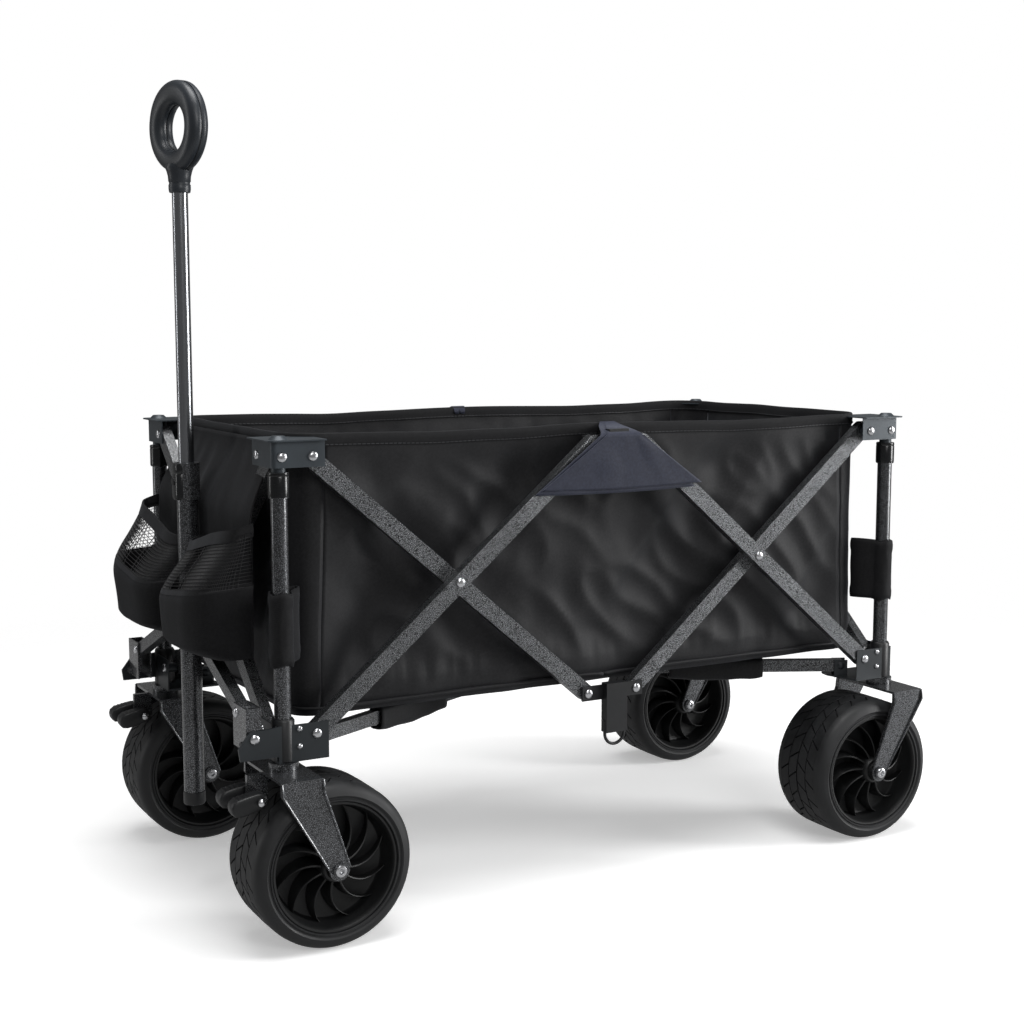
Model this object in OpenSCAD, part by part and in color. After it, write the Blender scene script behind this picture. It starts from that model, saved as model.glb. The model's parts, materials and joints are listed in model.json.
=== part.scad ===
// Folding camp wagon with a fabric tub, scissor sides and ends, swivelling front
// casters, fixed rear wheels and a telescoping pull handle. Millimetres, +Z up.
// The front, where the handle is, lies towards -X and the left side towards -Y.

/* [Scissor frame] */
// Horizontal run of one scissor bar between its end pivots when open
bar_run = 364; // [260:1:460]
// Height of the top pivots over the bottom pivots when open
bar_rise = 310; // [240:1:380]
// Half the distance between the two pivots of a centre hub
hub_half = 35; // [34:1:60]
// Distance from a post's axis in to the scissor pivots of its brackets
pivot_inset = 36; // [32:1:50]
// Thickness of a scissor bar
bar_t = 13; // [8:0.5:14]
// Height of a scissor bar's section
bar_h = 20; // [16:1:24]
// Wall of the bar tubing
bar_wall = 1.2; // [0.8:0.1:2]

/* [Posts] */
// Outer diameter of a corner post
post_d = 19; // [17:0.5:21]
// Outer diameter of the tube that telescopes inside the post
inner_post_d = 16; // [12:0.5:16]
// Thickness of the bracket sheet
sheet_t = 1.5; // [1:0.1:2]
// Height of the bushing on top of each post
bushing_h = 28; // [18:1:40]

/* [Wheels] */
// Diameter of a wheel
wheel_d = 190; // [150:1:230]
// Width of a tyre
tyre_w = 98; // [50:1:104]
// Diameter of the wheel's rim at the tyre's bead
rim_d = 150; // [110:1:150]
// Distance the front axles trail behind their posts
front_trail = 42; // [20:1:50]
// Distance the rear axles lie ahead of their posts
rear_lead = 46; // [20:1:50]
// Room between the tyre and the fork's top plate
tyre_gap = 9; // [6:0.5:16]

/* [Handle] */
// Distance from the front posts' axes forward to the handle's axis
handle_offset = 33; // [32:0.5:37]
// Outer diameter of the pole's lower tube
pole_d = 25; // [20:0.5:26]
// Outer diameter of the pole's sliding tube
pole_inner_d = 18.6; // [14:0.1:19]
// Length of the pole's lower tube below the handle's pivots
pole_below = 133; // [60:1:150]
// Length of the pole's lower tube above the handle's pivots
pole_above = 286; // [200:1:330]
// Length of the sliding tube that shows when it is pulled out
pole_shown = 317; // [150:1:330]
// Radius of the grip's ring, to the middle of its bar
grip_ring_r = 41; // [34:0.5:48]
// Diameter of the grip's bar
grip_bar_d = 25; // [20:0.5:30]

/* [Fabric] */
// Thickness of the fabric walls with their stiffening
cloth_t = 3; // [2:0.5:4]
// Depth of the two front pockets, from the front scissor to their fullest point
pocket_depth = 68; // [50:1:75]
// Width of a front pocket
pocket_w = 155; // [100:1:160]

/* [Fits] */
// Radius of the frame's rivets
rivet_r = 3; // [2.5:0.1:4]
// Radial clearance of a rivet in its hole
rivet_fit = 0.05; // [0.02:0.01:0.1]
// Side clearance between parts that move past each other
side_gap = 0.4; // [0.3:0.1:1]
// Clearance between the fabric and the frame
cloth_gap = 1.5; // [1:0.5:4]

/* [Hidden] */
$fn = 48;
// heights
wheel_r = wheel_d / 2;
fork_plate_t = 3.2;
fork_z = wheel_d + tyre_gap;                  // underside of the fork's top plate
thrust_h = 9;                                 // thrust washer between fork and bracket
bracket_z = fork_z + fork_plate_t + thrust_h; // underside of the lower bracket
base_plate_t = 2.5;
pivot_up = 29;                                // pivots over the lower bracket's underside
low_z = bracket_z + pivot_up;
top_z = low_z + bar_rise;
low_bracket_h = 42;
ear_drop = 12;                                // bracket ear below the top pivots
ear_rise = 17;                                // bracket ear above the top pivots
cap_z = top_z + ear_rise;                     // underside of the upper bracket's plate
bushing_top = top_z - ear_drop - 5;
bushing_z = bushing_top - bushing_h;
floor_z = low_z + 14;                         // underside of the tub's floor
// plan
post_x = bar_run + pivot_inset + hub_half;    // half the post spacing along X
post_y = bar_run / 2 + pivot_inset;           // half the post spacing along Y
post_r = post_d / 2;
ear_in = post_r + 0.5;                        // inner face of a bracket's ears
ear_out = ear_in + sheet_t;
ear_len = pivot_inset + 14;
outer_lane = -ear_in + side_gap;              // where the outer bar of a cross starts
inner_lane = outer_lane + bar_t + side_gap;   // where the inner bar starts
lane_end = inner_lane + bar_t;
head_h = 2;
head_r = 5.2;
bore_r = rivet_r + rivet_fit;
bar_slope = atan2(bar_rise, bar_run);
bar_len = norm([bar_run, bar_rise]);
post_wall = 1.2;
inner_fit = 0.15;
bushing_r = post_r + 2;
inner_post_len = 240;
hub_t = 3;                                    // plate of a centre hub
hub_end = 9;
// casters
fork_w = tyre_w + 10;                         // inside width between the fork's arms
fork_arm_t = 3;
fork_plate_half = 24;
stem_r = 5;
axle_r = 5;
hub_r = 15;
pedal_y = 20;
pedal_x = -fork_plate_half - 14;              // the pedals' pin
pedal_z = fork_z - 22;
lug_t = 6;                                    // thickness of the pedals' lug
tread_room = 3;                               // room between the lug and the turning tyre
// floor arms: their pivots lie on the line that runs through the wagon's middle
arm_in_y = 25;
arm_in_x = hub_half - pivot_inset + 2 * arm_in_y;
arm_turn = atan2(post_y - arm_in_y, post_x - arm_in_x);
arm_reach = norm([post_x - arm_in_x, post_y - arm_in_y]);
arm_w = 12;
arm_h = 16;
arm_z = low_z - 13;
spider_r = 88;                                // from the middle out to the arms' inner pivots
// handle
handle_x = -post_x - handle_offset;
tilt_x = -handle_offset - 4;                  // tilt axis, from the post's axis
tilt_z = low_z + 2;
yoke_in_y = 24;
yoke_z = low_z + 26;
yoke_half = 38;
yoke_top_z = low_z + 90;
yoke_t = 13;
yoke_h = 15;
channel_lug_r = 4.8;
yoke_run = post_y - yoke_in_y - yoke_half;
yoke_len = norm([yoke_run, yoke_top_z - yoke_z]);
yoke_slope = atan2(yoke_top_z - yoke_z, yoke_run);
yoke_front = tilt_x - yoke_t / 2;
yoke_back = yoke_front + yoke_t;
pole_wall = 1.5;
pole_bottom = tilt_z - pole_below;
pole_top = tilt_z + pole_above;
collar_h = 44;
collar_d = 31;
grip_neck_z = pole_top + pole_shown;
grip_neck_h = 26;
grip_z = grip_neck_z + grip_neck_h + grip_ring_r + grip_bar_d / 2 - 4;
pole_bury = 80;                               // sliding tube left inside when pulled out
// fabric
wall_in = lane_end + head_h + cloth_gap;      // outer face of a wall, in from the posts
rim_z = cap_z + 4;
mat_t = 6;
flap_half = 108;                              // half the width of a hub flap
pocket_gap = 15;                              // from the wagon's middle to a pocket
pocket_back = ear_out + head_h + cloth_gap;
pocket_z = yoke_top_z - 12;
pocket_top = pole_top - collar_h - 10;        // the mouths hang under the pole's collar
// the model's box is centred on X over the pockets' fronts and the rear tyres
reach_front = post_x + pocket_back + pocket_depth;
reach_rear = post_x - rear_lead + wheel_r;
x_shift = (reach_front - reach_rear) / 2;

CORNERS = [["front_left", 0, 0], ["front_right", 0, 1], ["rear_left", 1, 0], ["rear_right", 1, 1]];
CORNER_PARTS = ["post", "lower_bracket", "upper_bracket", "side_low_bar", "side_high_bar",
                "end_bar", "floor_arm", "fork", "tyre", "rim"];
FRONT_PARTS = ["brake_pedal", "handle_channel", "yoke_arm"];
SIDES = [["left", 0], ["right", 1]];
SIDE_PARTS = ["top_hub", "bottom_hub", "side_panel"];

// ---- placing: a corner's own frame has its post at the origin, +X and +Y inwards ----

module in_wagon() {
  translate([x_shift, 0, 0]) children();
}

module in_corner(c) {
  in_wagon()
    mirror([c[1], 0, 0]) mirror([0, c[2], 0])
      translate([-post_x, -post_y, 0]) children();
}

// turns the corner's XZ plane into its YZ plane, so an end repeats a side
module end_wise() {
  mirror([1, -1, 0]) children();
}

// ---- small shared shapes ----

// a rod or ring along Y, from y0 to y1
module along_y(r, y0, y1, bore = 0) {
  translate([0, y0, 0]) rotate([-90, 0, 0])
    difference() {
      cylinder(r = r, h = y1 - y0);
      if (bore > 0) translate([0, 0, -1]) cylinder(r = bore, h = y1 - y0 + 2);
    }
}

// a rod along X, from x0 to x1
module along_x(r, x0, x1) {
  translate([x0, 0, 0]) rotate([0, 90, 0]) cylinder(r = r, h = x1 - x0);
}

// a round rivet head: its flat on the plane y, crowned towards dir
module rivet_head(y, dir) {
  h = head_h;
  crown_r = (head_r * head_r + h * h) / (2 * h);
  translate([0, y, 0]) rotate([dir < 0 ? 90 : -90, 0, 0])
    rotate_extrude()
      intersection() {
        translate([0, h - crown_r]) circle(r = crown_r);
        square([head_r, h]);
      }
}

// a rivet along Y that holds the layers between y0 and y1, with a spacer's step if asked
module rivet(y0, y1, step_to = 0) {
  color("gainsboro") {
    along_y(rivet_r, y0 - 0.5, y1 + 0.5);
    rivet_head(y0 - 0.05, -1);
    rivet_head(y1 + 0.05, 1);
    if (step_to != 0) along_y(rivet_r + 3, y0 + sheet_t + 0.1, step_to - 0.1);
  }
}

// a rectangular tube with round ends and rivet holes, from the origin along +X
module bar(len, t, h, wall, holes) {
  difference() {
    rotate([90, 0, 0]) translate([0, 0, -t])
      linear_extrude(t)
        difference() {
          union() {
            translate([0, -h / 2]) square([len, h]);
            circle(r = h / 2);
            translate([len, 0]) circle(r = h / 2);
          }
          for (x = holes) translate([x, 0]) circle(r = bore_r);
        }
    translate([-h, wall, -h / 2 + wall]) cube([len + 2 * h, t - 2 * wall, h - 2 * wall]);
  }
}

// ---- corner: post and brackets ----

module post() {
  tube_z = bracket_z + base_plate_t + 0.05;
  color("dimgray")
    translate([0, 0, tube_z])
      difference() {
        cylinder(r = post_r, h = bushing_z - tube_z);
        translate([0, 0, -1]) cylinder(r = post_r - post_wall, h = bushing_z - tube_z + 2);
      }
  color("black")
    translate([0, 0, bushing_z + 0.05])
      difference() {
        cylinder(r = bushing_r, h = bushing_h - 0.05);
        translate([0, 0, -1]) cylinder(r = inner_post_d / 2 + inner_fit, h = bushing_h + 2);
      }
}

module low_ear() {
  difference() {
    translate([-post_r, -ear_out, bracket_z])
      cube([ear_len + post_r, sheet_t, low_bracket_h]);
    translate([pivot_inset, 0, low_z]) along_y(bore_r, -ear_out - 1, -ear_in + 1);
  }
}

module lower_bracket(front, outer_end_lane) {
  color("dimgray")
    difference() {
      union() {
        // sleeve round the post
        translate([0, 0, bracket_z]) cylinder(r = ear_out, h = low_bracket_h);
        low_ear();
        end_wise() low_ear();
        // base plate with its inner corner cut off
        translate([0, 0, bracket_z])
          linear_extrude(base_plate_t)
            polygon([[-post_r, -ear_out], [ear_len, -ear_out], [ear_len + 12, arm_in_y + 10],
                     [arm_in_x + 10, ear_len], [-ear_out, ear_len], [-ear_out, -post_r]]);
        // clevis of the floor arm
        translate([arm_in_x, arm_in_y, 0]) rotate([0, 0, arm_turn])
          for (s = [-1, 1]) translate([-9, s * (arm_w / 2 + side_gap + 1) - 1, bracket_z])
            cube([18, 2, arm_z + 8 - bracket_z]);
        // wing that holds the handle, its upper front corner cut off
        if (front)
          translate([0, -ear_out, 0]) rotate([90, 0, 0]) translate([0, 0, -3])
            linear_extrude(3)
              polygon([[0, bracket_z + 8], [tilt_x - 17, bracket_z + 8],
                       [tilt_x - 19, bracket_z + 22], [tilt_x - 6, bracket_z + low_bracket_h - 3],
                       [0, bracket_z + low_bracket_h]]);
      }
      translate([0, 0, bracket_z + base_plate_t])
        cylinder(r = post_r + 0.05, h = low_bracket_h);
      translate([0, 0, bracket_z - 1]) cylinder(r = stem_r + 0.1, h = low_bracket_h);
      if (front) translate([tilt_x, 0, tilt_z]) along_y(bore_r, -ear_out - 1, 0);
      translate([arm_in_x, arm_in_y, arm_z]) rotate([0, 0, arm_turn])
        along_y(bore_r, -arm_w, arm_w);
    }
  // rivets: side pivot, end pivot, floor arm's pin, handle's pin
  translate([pivot_inset, 0, low_z]) rivet(-ear_out, outer_lane + bar_t);
  end_wise() translate([pivot_inset, 0, low_z])
    rivet(-ear_out, outer_end_lane ? outer_lane + bar_t : lane_end,
          outer_end_lane ? 0 : inner_lane);
  translate([arm_in_x, arm_in_y, arm_z]) rotate([0, 0, arm_turn])
    rivet(-arm_w / 2 - side_gap - 2, arm_w / 2 + side_gap + 2);
  if (front) translate([tilt_x, 0, tilt_z]) rivet(-ear_out, -ear_out + 3 + side_gap + 2.5);
}

module plan_corner(r, edge) {
  translate([edge + r, edge]) square([ear_len - edge - r, ear_len - edge]);
  translate([edge, edge + r]) square([ear_len - edge, ear_len - edge - r]);
  translate([edge + r, edge + r]) circle(r = r);
}

module upper_bracket(outer_end_lane) {
  color("slategray")
    difference() {
      union() {
        // two ears folded round the corner
        translate([0, 0, top_z - ear_drop])
          linear_extrude(ear_drop + ear_rise + sheet_t)
            difference() {
              plan_corner(6, -ear_out);
              translate([sheet_t, sheet_t]) plan_corner(4.5, -ear_out);
              translate([ear_len - 1, -ear_in]) square([3, ear_len * 2]);
              translate([-ear_in, ear_len - 1]) square([ear_len * 2, 3]);
            }
        // top plate that the rim's corner is fastened to
        translate([0, 0, cap_z])
          linear_extrude(sheet_t)
            difference() {
              plan_corner(8, -ear_out - 6);
              translate([ear_len, ear_len * 0.45]) rotate([0, 0, 45]) square(ear_len, center = false);
            }
        // socket of the inner post, let into the ears
        translate([0, 0, top_z - ear_drop])
          cylinder(r = ear_in + sheet_t / 3, h = ear_drop + ear_rise + sheet_t / 2);
        // pressed dome over the post
        translate([0, 0, cap_z + sheet_t / 2]) cylinder(r1 = 12, r2 = 7, h = 4 + sheet_t / 2);
      }
      translate([pivot_inset, 0, top_z]) along_y(bore_r, -ear_out - 1, -ear_in + 1);
      end_wise() translate([pivot_inset, 0, top_z]) along_y(bore_r, -ear_out - 1, -ear_in + 1);
      translate([0, 0, top_z - ear_drop - 1])
        cylinder(r = inner_post_d / 2 + 0.05, h = ear_drop + ear_rise);
    }
  color("silver")
    translate([0, 0, bushing_top - inner_post_len])
      difference() {
        cylinder(r = inner_post_d / 2, h = top_z + ear_rise - 1.1 - bushing_top + inner_post_len);
        translate([0, 0, -1])
          cylinder(r = inner_post_d / 2 - post_wall, h = inner_post_len + ear_rise * 4);
      }
  color("gainsboro") translate([0, 0, top_z]) rivet_head(-ear_out - 0.05, -1);
  translate([pivot_inset, 0, top_z]) rivet(-ear_out, lane_end, inner_lane);
  end_wise() translate([pivot_inset, 0, top_z])
    rivet(-ear_out, outer_end_lane ? outer_lane + bar_t : lane_end,
          outer_end_lane ? 0 : inner_lane);
}

// ---- scissor bars ----

module side_low_bar() {
  color("gray")
    translate([pivot_inset, outer_lane, low_z]) rotate([0, -bar_slope, 0])
      bar(bar_len, bar_t, bar_h, bar_wall, [0, bar_len / 2, bar_len]);
  translate([pivot_inset + bar_run / 2, 0, (low_z + top_z) / 2]) rivet(outer_lane, lane_end);
}

module side_high_bar() {
  color("gray")
    translate([pivot_inset, inner_lane, top_z]) rotate([0, bar_slope, 0])
      bar(bar_len, bar_t, bar_h, bar_wall, [0, bar_len / 2, bar_len]);
}

// from this corner's lower bracket up to the upper bracket across the wagon
module end_bar(outer) {
  color("gray")
    end_wise()
      translate([pivot_inset, outer ? outer_lane : inner_lane, low_z]) rotate([0, -bar_slope, 0])
        bar(bar_len, bar_t, bar_h, bar_wall, [0, bar_len / 2, bar_len]);
  if (outer)
    end_wise()
      translate([pivot_inset + bar_run / 2, 0, (low_z + top_z) / 2]) rivet(outer_lane, lane_end);
}

// ---- centre hubs of the long sides ----

module hub_plate(z, y, t, half_h) {
  translate([post_x, y, z])
    difference() {
      translate([-hub_half - hub_end, 0, -half_h])
        cube([2 * (hub_half + hub_end), t, 2 * half_h]);
      for (s = [-1, 1]) translate([s * hub_half, 0, 0]) along_y(bore_r, -1, t + 1);
    }
}

module top_hub() {
  plate_y = outer_lane + bar_t + side_gap;
  color("black") {
    hub_plate(top_z, plate_y, hub_t, hub_end);
    translate([post_x - 14, outer_lane, top_z - 18]) cube([28, bar_t + side_gap + 0.5, 34]);
  }
  for (s = [-1, 1])
    translate([post_x + s * hub_half, 0, top_z]) rivet(outer_lane, plate_y + hub_t);
}

module bottom_hub() {
  plate_y = inner_lane - side_gap - hub_t;
  loop_r = 14;
  loop_wire = 2;
  loop_z = low_z - 42;
  color("black")
    difference() {
      union() {
        hub_plate(low_z, plate_y, hub_t, hub_end);
        translate([post_x - 15, outer_lane, low_z - 50]) cube([30, bar_t - 0.5, 62]);
      }
      for (s = [-1, 1])
        translate([post_x + s * loop_r, outer_lane + 6, loop_z - 12])
          cylinder(r = loop_wire + 0.05, h = 20);
    }
  // wire loop for the fold strap
  color("silver")
    translate([post_x, outer_lane + 6, loop_z - 10]) {
      for (s = [-1, 1]) translate([s * loop_r, 0, 0]) cylinder(r = loop_wire, h = 17);
      rotate([-90, 0, 0]) rotate_extrude(angle = 180) translate([loop_r, 0]) circle(r = loop_wire);
    }
  for (s = [-1, 1])
    translate([post_x + s * hub_half, 0, low_z]) rivet(plate_y, lane_end);
}

// ---- floor frame ----

module floor_arm() {
  len = arm_reach - spider_r;
  color("gray")
    translate([arm_in_x, arm_in_y, arm_z]) rotate([0, 0, arm_turn])
      translate([0, -arm_w / 2, 0])
        bar(len, arm_w, arm_h, bar_wall, [0, len]);
}

module floor_spider() {
  plate_z = arm_z + arm_h / 2 + side_gap + 0.6;
  ear_y = arm_w / 2 + side_gap;
  color("black")
    difference() {
      union() {
        translate([0, 0, plate_z])
          linear_extrude(3)
            difference() {
              union() {
                circle(r = 34);
                for (a = [arm_turn, -arm_turn])
                  rotate([0, 0, a]) square([2 * spider_r + 20, 32], center = true);
              }
              // hand hole for the fold strap
              circle(r = 12);
            }
        // ears that carry the front left arm's inner pin
        rotate([0, 0, 180 + arm_turn])
          for (s = [-1, 1])
            translate([spider_r - 8, s * (ear_y + 1) - 1, arm_z - 7]) cube([16, 2, plate_z - arm_z + 8]);
      }
      rotate([0, 0, 180 + arm_turn]) translate([spider_r, 0, arm_z]) along_y(bore_r, -arm_w, arm_w);
    }
  rotate([0, 0, 180 + arm_turn]) translate([spider_r, 0, arm_z]) rivet(-ear_y - 2, ear_y + 2);
}

// ---- casters and wheels ----

// trail is the axle's distance from the post, inwards along X
module fork(trail) {
  arm_top = fork_z + fork_plate_t;
  color("dimgray") {
    translate([-fork_plate_half, -fork_w / 2 - fork_arm_t, fork_z])
      cube([2 * fork_plate_half, fork_w + 2 * fork_arm_t, fork_plate_t]);
    // tapered arms down to the axle
    for (s = [-1, 1])
      translate([0, s * (fork_w + fork_arm_t) / 2, 0]) rotate([90, 0, 0])
        translate([0, 0, -fork_arm_t / 2])
          difference() {
            linear_extrude(fork_arm_t)
              union() {
                polygon([[-fork_plate_half, arm_top], [fork_plate_half, arm_top],
                         [fork_plate_half, arm_top - 14], [trail + 12, wheel_r + 2],
                         [trail + 6, wheel_r - 10], [trail - 10, wheel_r - 4],
                         [-fork_plate_half, arm_top - 14]]);
                translate([trail, wheel_r]) circle(r = 12);
              }
            translate([trail, wheel_r, -1]) cylinder(r = axle_r + 0.05, h = fork_arm_t + 2);
          }
    // swivel stem and its thrust washer
    translate([0, 0, fork_z + fork_plate_t - 0.5]) cylinder(r = stem_r, h = thrust_h + 26);
    translate([0, 0, fork_z + fork_plate_t - 0.5]) cylinder(r = 17, h = thrust_h + 0.2);
  }
  // axle bolt with its two heads
  color("gainsboro")
    translate([trail, 0, wheel_r]) {
      along_y(axle_r, -fork_w / 2 - fork_arm_t - 0.5, fork_w / 2 + fork_arm_t + 0.5);
      for (s = [-1, 1])
        mirror([0, s > 0 ? 1 : 0, 0])
          along_y(8.5, -fork_w / 2 - fork_arm_t - 3, -fork_w / 2 - fork_arm_t - 0.05);
    }
}

module tyre(trail) {
  bead_r = rim_d / 2;
  shoulder = 7;
  color([0.13, 0.13, 0.14])
    translate([trail, 0, wheel_r]) rotate([90, 0, 0])
      rotate_extrude($fn = 96)
        polygon([[bead_r, -tyre_w / 2 + 3], [bead_r + 4, -tyre_w / 2],
                 [wheel_r - shoulder, -tyre_w / 2], [wheel_r - 2, -tyre_w / 2 + shoulder],
                 [wheel_r, -tyre_w / 2 + 3 * shoulder], [wheel_r, tyre_w / 2 - 3 * shoulder],
                 [wheel_r - 2, tyre_w / 2 - shoulder], [wheel_r - shoulder, tyre_w / 2],
                 [bead_r + 4, tyre_w / 2], [bead_r, tyre_w / 2 - 3]]);
}

module rim(trail) {
  bead_r = rim_d / 2 - 0.05;
  dish = 30;                                  // depth of the dish behind the rim's edge
  hub_w = fork_w / 2 - 1.5;
  color([0.1, 0.1, 0.11])
    translate([trail, 0, wheel_r]) rotate([90, 0, 0])
      rotate_extrude($fn = 96)
        union() {
          // barrel, web and hub
          translate([bead_r - 6, -tyre_w / 2 + 3.5]) square([6, tyre_w - 7]);
          translate([hub_r - 1, -tyre_w / 2 + dish]) square([bead_r - hub_r, tyre_w - 2 * dish]);
          translate([axle_r + 0.1, -hub_w]) square([hub_r - axle_r - 0.1, 2 * hub_w]);
        }
}

module brake_pedal() {
  // two lobes on a cross pin in front of the fork
  color("black")
    for (s = [-1, 1])
      translate([pedal_x, s * pedal_y - 9, pedal_z]) rotate([90, 0, 0]) translate([0, 0, -18])
        difference() {
          linear_extrude(18)
            union() {
              circle(r = 9);
              polygon([[2, -8.8], [-28, -14], [-31, -7], [-27, 4], [-2, 8.8]]);
            }
          translate([0, 0, -1]) cylinder(r = bore_r, h = 20);
        }
  color("gainsboro")
    translate([pedal_x, 0, pedal_z]) rivet(-pedal_y - 9.1, pedal_y + 9.1);
}

// the lug that carries the pedals' pin, cut back where the tyre turns past it
module pedal_lugs() {
  lug_len = -fork_plate_half - pedal_x + 10;
  lug_h = fork_z - pedal_z + 8;
  color("dimgray")
    difference() {
      translate([pedal_x - 6, -lug_t / 2, pedal_z - 6]) cube([lug_len, lug_t, lug_h]);
      translate([pedal_x, 0, pedal_z]) along_y(bore_r, -4, 4);
      translate([front_trail, 0, wheel_r]) along_y(wheel_r + tread_room, -4, 4);
    }
}

// ---- handle ----

module handle_channel() {
  web_y = -ear_out + 3 + side_gap;
  half = yoke_t / 2 + side_gap + 2;
  z0 = tilt_z - 14;
  z1 = yoke_z + 10;
  color("dimgray")
    difference() {
      union() {
        translate([tilt_x - half, web_y, z0]) cube([2 * half, 2, z1 - z0]);
        for (s = [-1, 1])
          translate([tilt_x + s * (half - 1) - 1, web_y, z0]) cube([2, yoke_in_y - web_y + 9, z1 - z0]);
        // lug that the pole's stop rests on
        translate([tilt_x - half + 1, web_y, z0 + channel_lug_r]) along_y(channel_lug_r, 0, 14);
      }
      translate([tilt_x, 0, tilt_z]) along_y(bore_r, web_y - 1, web_y + 4);
      translate([tilt_x, yoke_in_y, yoke_z]) along_x(bore_r, -half - 1, half + 1);
    }
  color("gainsboro")
    translate([tilt_x, yoke_in_y, yoke_z]) {
      along_x(rivet_r, -half - 0.5, half + 0.5);
      for (s = [-1, 1]) rotate([0, 0, s * 90]) rivet_head(-half - 0.05, -1);
    }
}

module yoke_arm(with_pin) {
  color("gray")
    translate([yoke_front, yoke_in_y, yoke_z]) rotate([yoke_slope, 0, 0]) mirror([1, -1, 0])
      bar(yoke_len, yoke_t, yoke_h, bar_wall, [0, yoke_len]);
  if (with_pin)
    color("gainsboro")
      translate([tilt_x, yoke_in_y + yoke_run, yoke_top_z]) {
        along_x(rivet_r, -yoke_t / 2 - 0.5, yoke_t / 2);
        rotate([0, 0, -90]) rivet_head(-yoke_t / 2 - 0.05, -1);
      }
}

module yoke_hub() {
  plate_x = -post_x + yoke_back + side_gap;
  pole_r = pole_d / 2;
  color("dimgray")
    difference() {
      union() {
        translate([plate_x, -yoke_half - 9, yoke_top_z - 13]) cube([3.5, 2 * yoke_half + 18, 26]);
        translate([handle_x, 0, yoke_top_z - 16]) cylinder(r = pole_r + 2, h = 30);
      }
      translate([handle_x, 0, yoke_top_z - 20]) cylinder(r = pole_r + 0.05, h = 50);
      translate([-post_x + tilt_x, -yoke_half, yoke_top_z])
        along_x(bore_r, yoke_t / 2 - 1, yoke_t / 2 + 6);
    }
  // the left arm's pin
  color("gainsboro")
    translate([-post_x + tilt_x, -yoke_half, yoke_top_z]) {
      along_x(rivet_r, -yoke_t / 2 - 0.5, yoke_t / 2 + side_gap + 4);
      rotate([0, 0, -90]) rivet_head(-yoke_t / 2 - 0.05, -1);
    }
}

module pole_outer() {
  pole_r = pole_d / 2;
  color("dimgray")
    translate([handle_x, 0, pole_bottom])
      difference() {
        cylinder(r = pole_r, h = pole_top - collar_h - pole_bottom);
        translate([0, 0, 3]) cylinder(r = pole_r - pole_wall, h = pole_top);
      }
  color("black")
    translate([handle_x, 0, pole_top - collar_h + 0.05])
      difference() {
        cylinder(r = collar_d / 2, h = collar_h - 0.05);
        translate([0, 0, -1]) cylinder(r = pole_inner_d / 2 + inner_fit, h = collar_h + 2);
      }
}

module pole_inner() {
  color("silver")
    translate([handle_x, 0, pole_top - pole_bury])
      difference() {
        cylinder(r = pole_inner_d / 2, h = pole_shown + pole_bury + grip_neck_h - 3);
        translate([0, 0, -1])
          cylinder(r = pole_inner_d / 2 - post_wall, h = pole_shown + pole_bury + grip_neck_h);
      }
}

module grip() {
  neck_r = pole_inner_d / 2 + 3;
  color([0.16, 0.16, 0.17])
    difference() {
      translate([handle_x, 0, 0]) {
        translate([0, 0, grip_z]) rotate([0, 90, 0])
          rotate_extrude($fn = 72) translate([grip_ring_r, 0]) circle(r = grip_bar_d / 2);
        translate([0, 0, grip_neck_z]) cylinder(r = neck_r, h = grip_neck_h + 2);
      }
      translate([handle_x, 0, grip_neck_z - 1])
        cylinder(r = pole_inner_d / 2 + 0.05, h = grip_neck_h - 1.5);
    }
}

// ---- fabric ----

// a wall of the tub from x = 0, notched under the brackets' top plates at both ends
module wall(len) {
  start = wall_in + cloth_t + 1;
  notch = ear_len + cloth_gap - start;
  notch_z = cap_z - cloth_gap;
  translate([start, cloth_t, 0]) rotate([90, 0, 0])
    linear_extrude(cloth_t)
      polygon([[0, floor_z], [len, floor_z], [len, notch_z], [len - notch, notch_z],
               [len - notch, rim_z], [notch, rim_z], [notch, notch_z], [0, notch_z]]);
}

module side_panel() {
  flap_z = top_z - 54;
  color([0.16, 0.16, 0.17]) {
    in_wagon() translate([-post_x, -post_y + wall_in, 0])
      wall(2 * (post_x - wall_in - cloth_t - 1));
    // flap that covers the top hub
    in_wagon() translate([0, -post_y + outer_lane - head_h - cloth_gap, 0])
      rotate([90, 0, 0])
        linear_extrude(2)
          polygon([[-flap_half, flap_z], [0, rim_z], [flap_half, flap_z], [0, flap_z - 6]]);
  }
}

module end_panel() {
  color([0.16, 0.16, 0.17])
    translate([wall_in, 0, 0]) end_wise()
      wall(2 * (post_y - wall_in - cloth_t - 1));
}

// side outline of a pocket, its walls drawn in by w and its mouth left open if w > 0
function pocket_outline(w) =
  let (front = -pocket_back - pocket_depth, mouth_z = pocket_top + (w > 0 ? 4 : 0))
  [[-pocket_back - w, pocket_z + 30 + w], [yoke_front - 4 - w, pocket_z + 30 + w],
   [yoke_front - 6 - w, pocket_z + w], [front + 14 + w, pocket_z + w],
   [front + w, pocket_z + 26 + w], [front + 6 + w, pocket_z + 66],
   [front + 45 + w, mouth_z], [-pocket_back - w, mouth_z]];

// a hanging pocket, open at its mouth
module pocket() {
  color([0.14, 0.14, 0.15])
    translate([0, post_y - pocket_gap - pocket_w, 0]) rotate([90, 0, 0])
      translate([0, 0, -pocket_w])
        difference() {
          linear_extrude(pocket_w) polygon(pocket_outline(0));
          translate([0, 0, cloth_t]) linear_extrude(pocket_w - 2 * cloth_t)
            polygon(pocket_outline(cloth_t));
        }
}

module floor_mat() {
  clear = wall_in + cloth_t + 1.5;
  color([0.15, 0.15, 0.16])
    in_wagon() translate([-post_x + clear, -post_y + clear, floor_z])
      cube([2 * (post_x - clear), 2 * (post_y - clear), mat_t]);
}

// ---- the nodes ----

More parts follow.
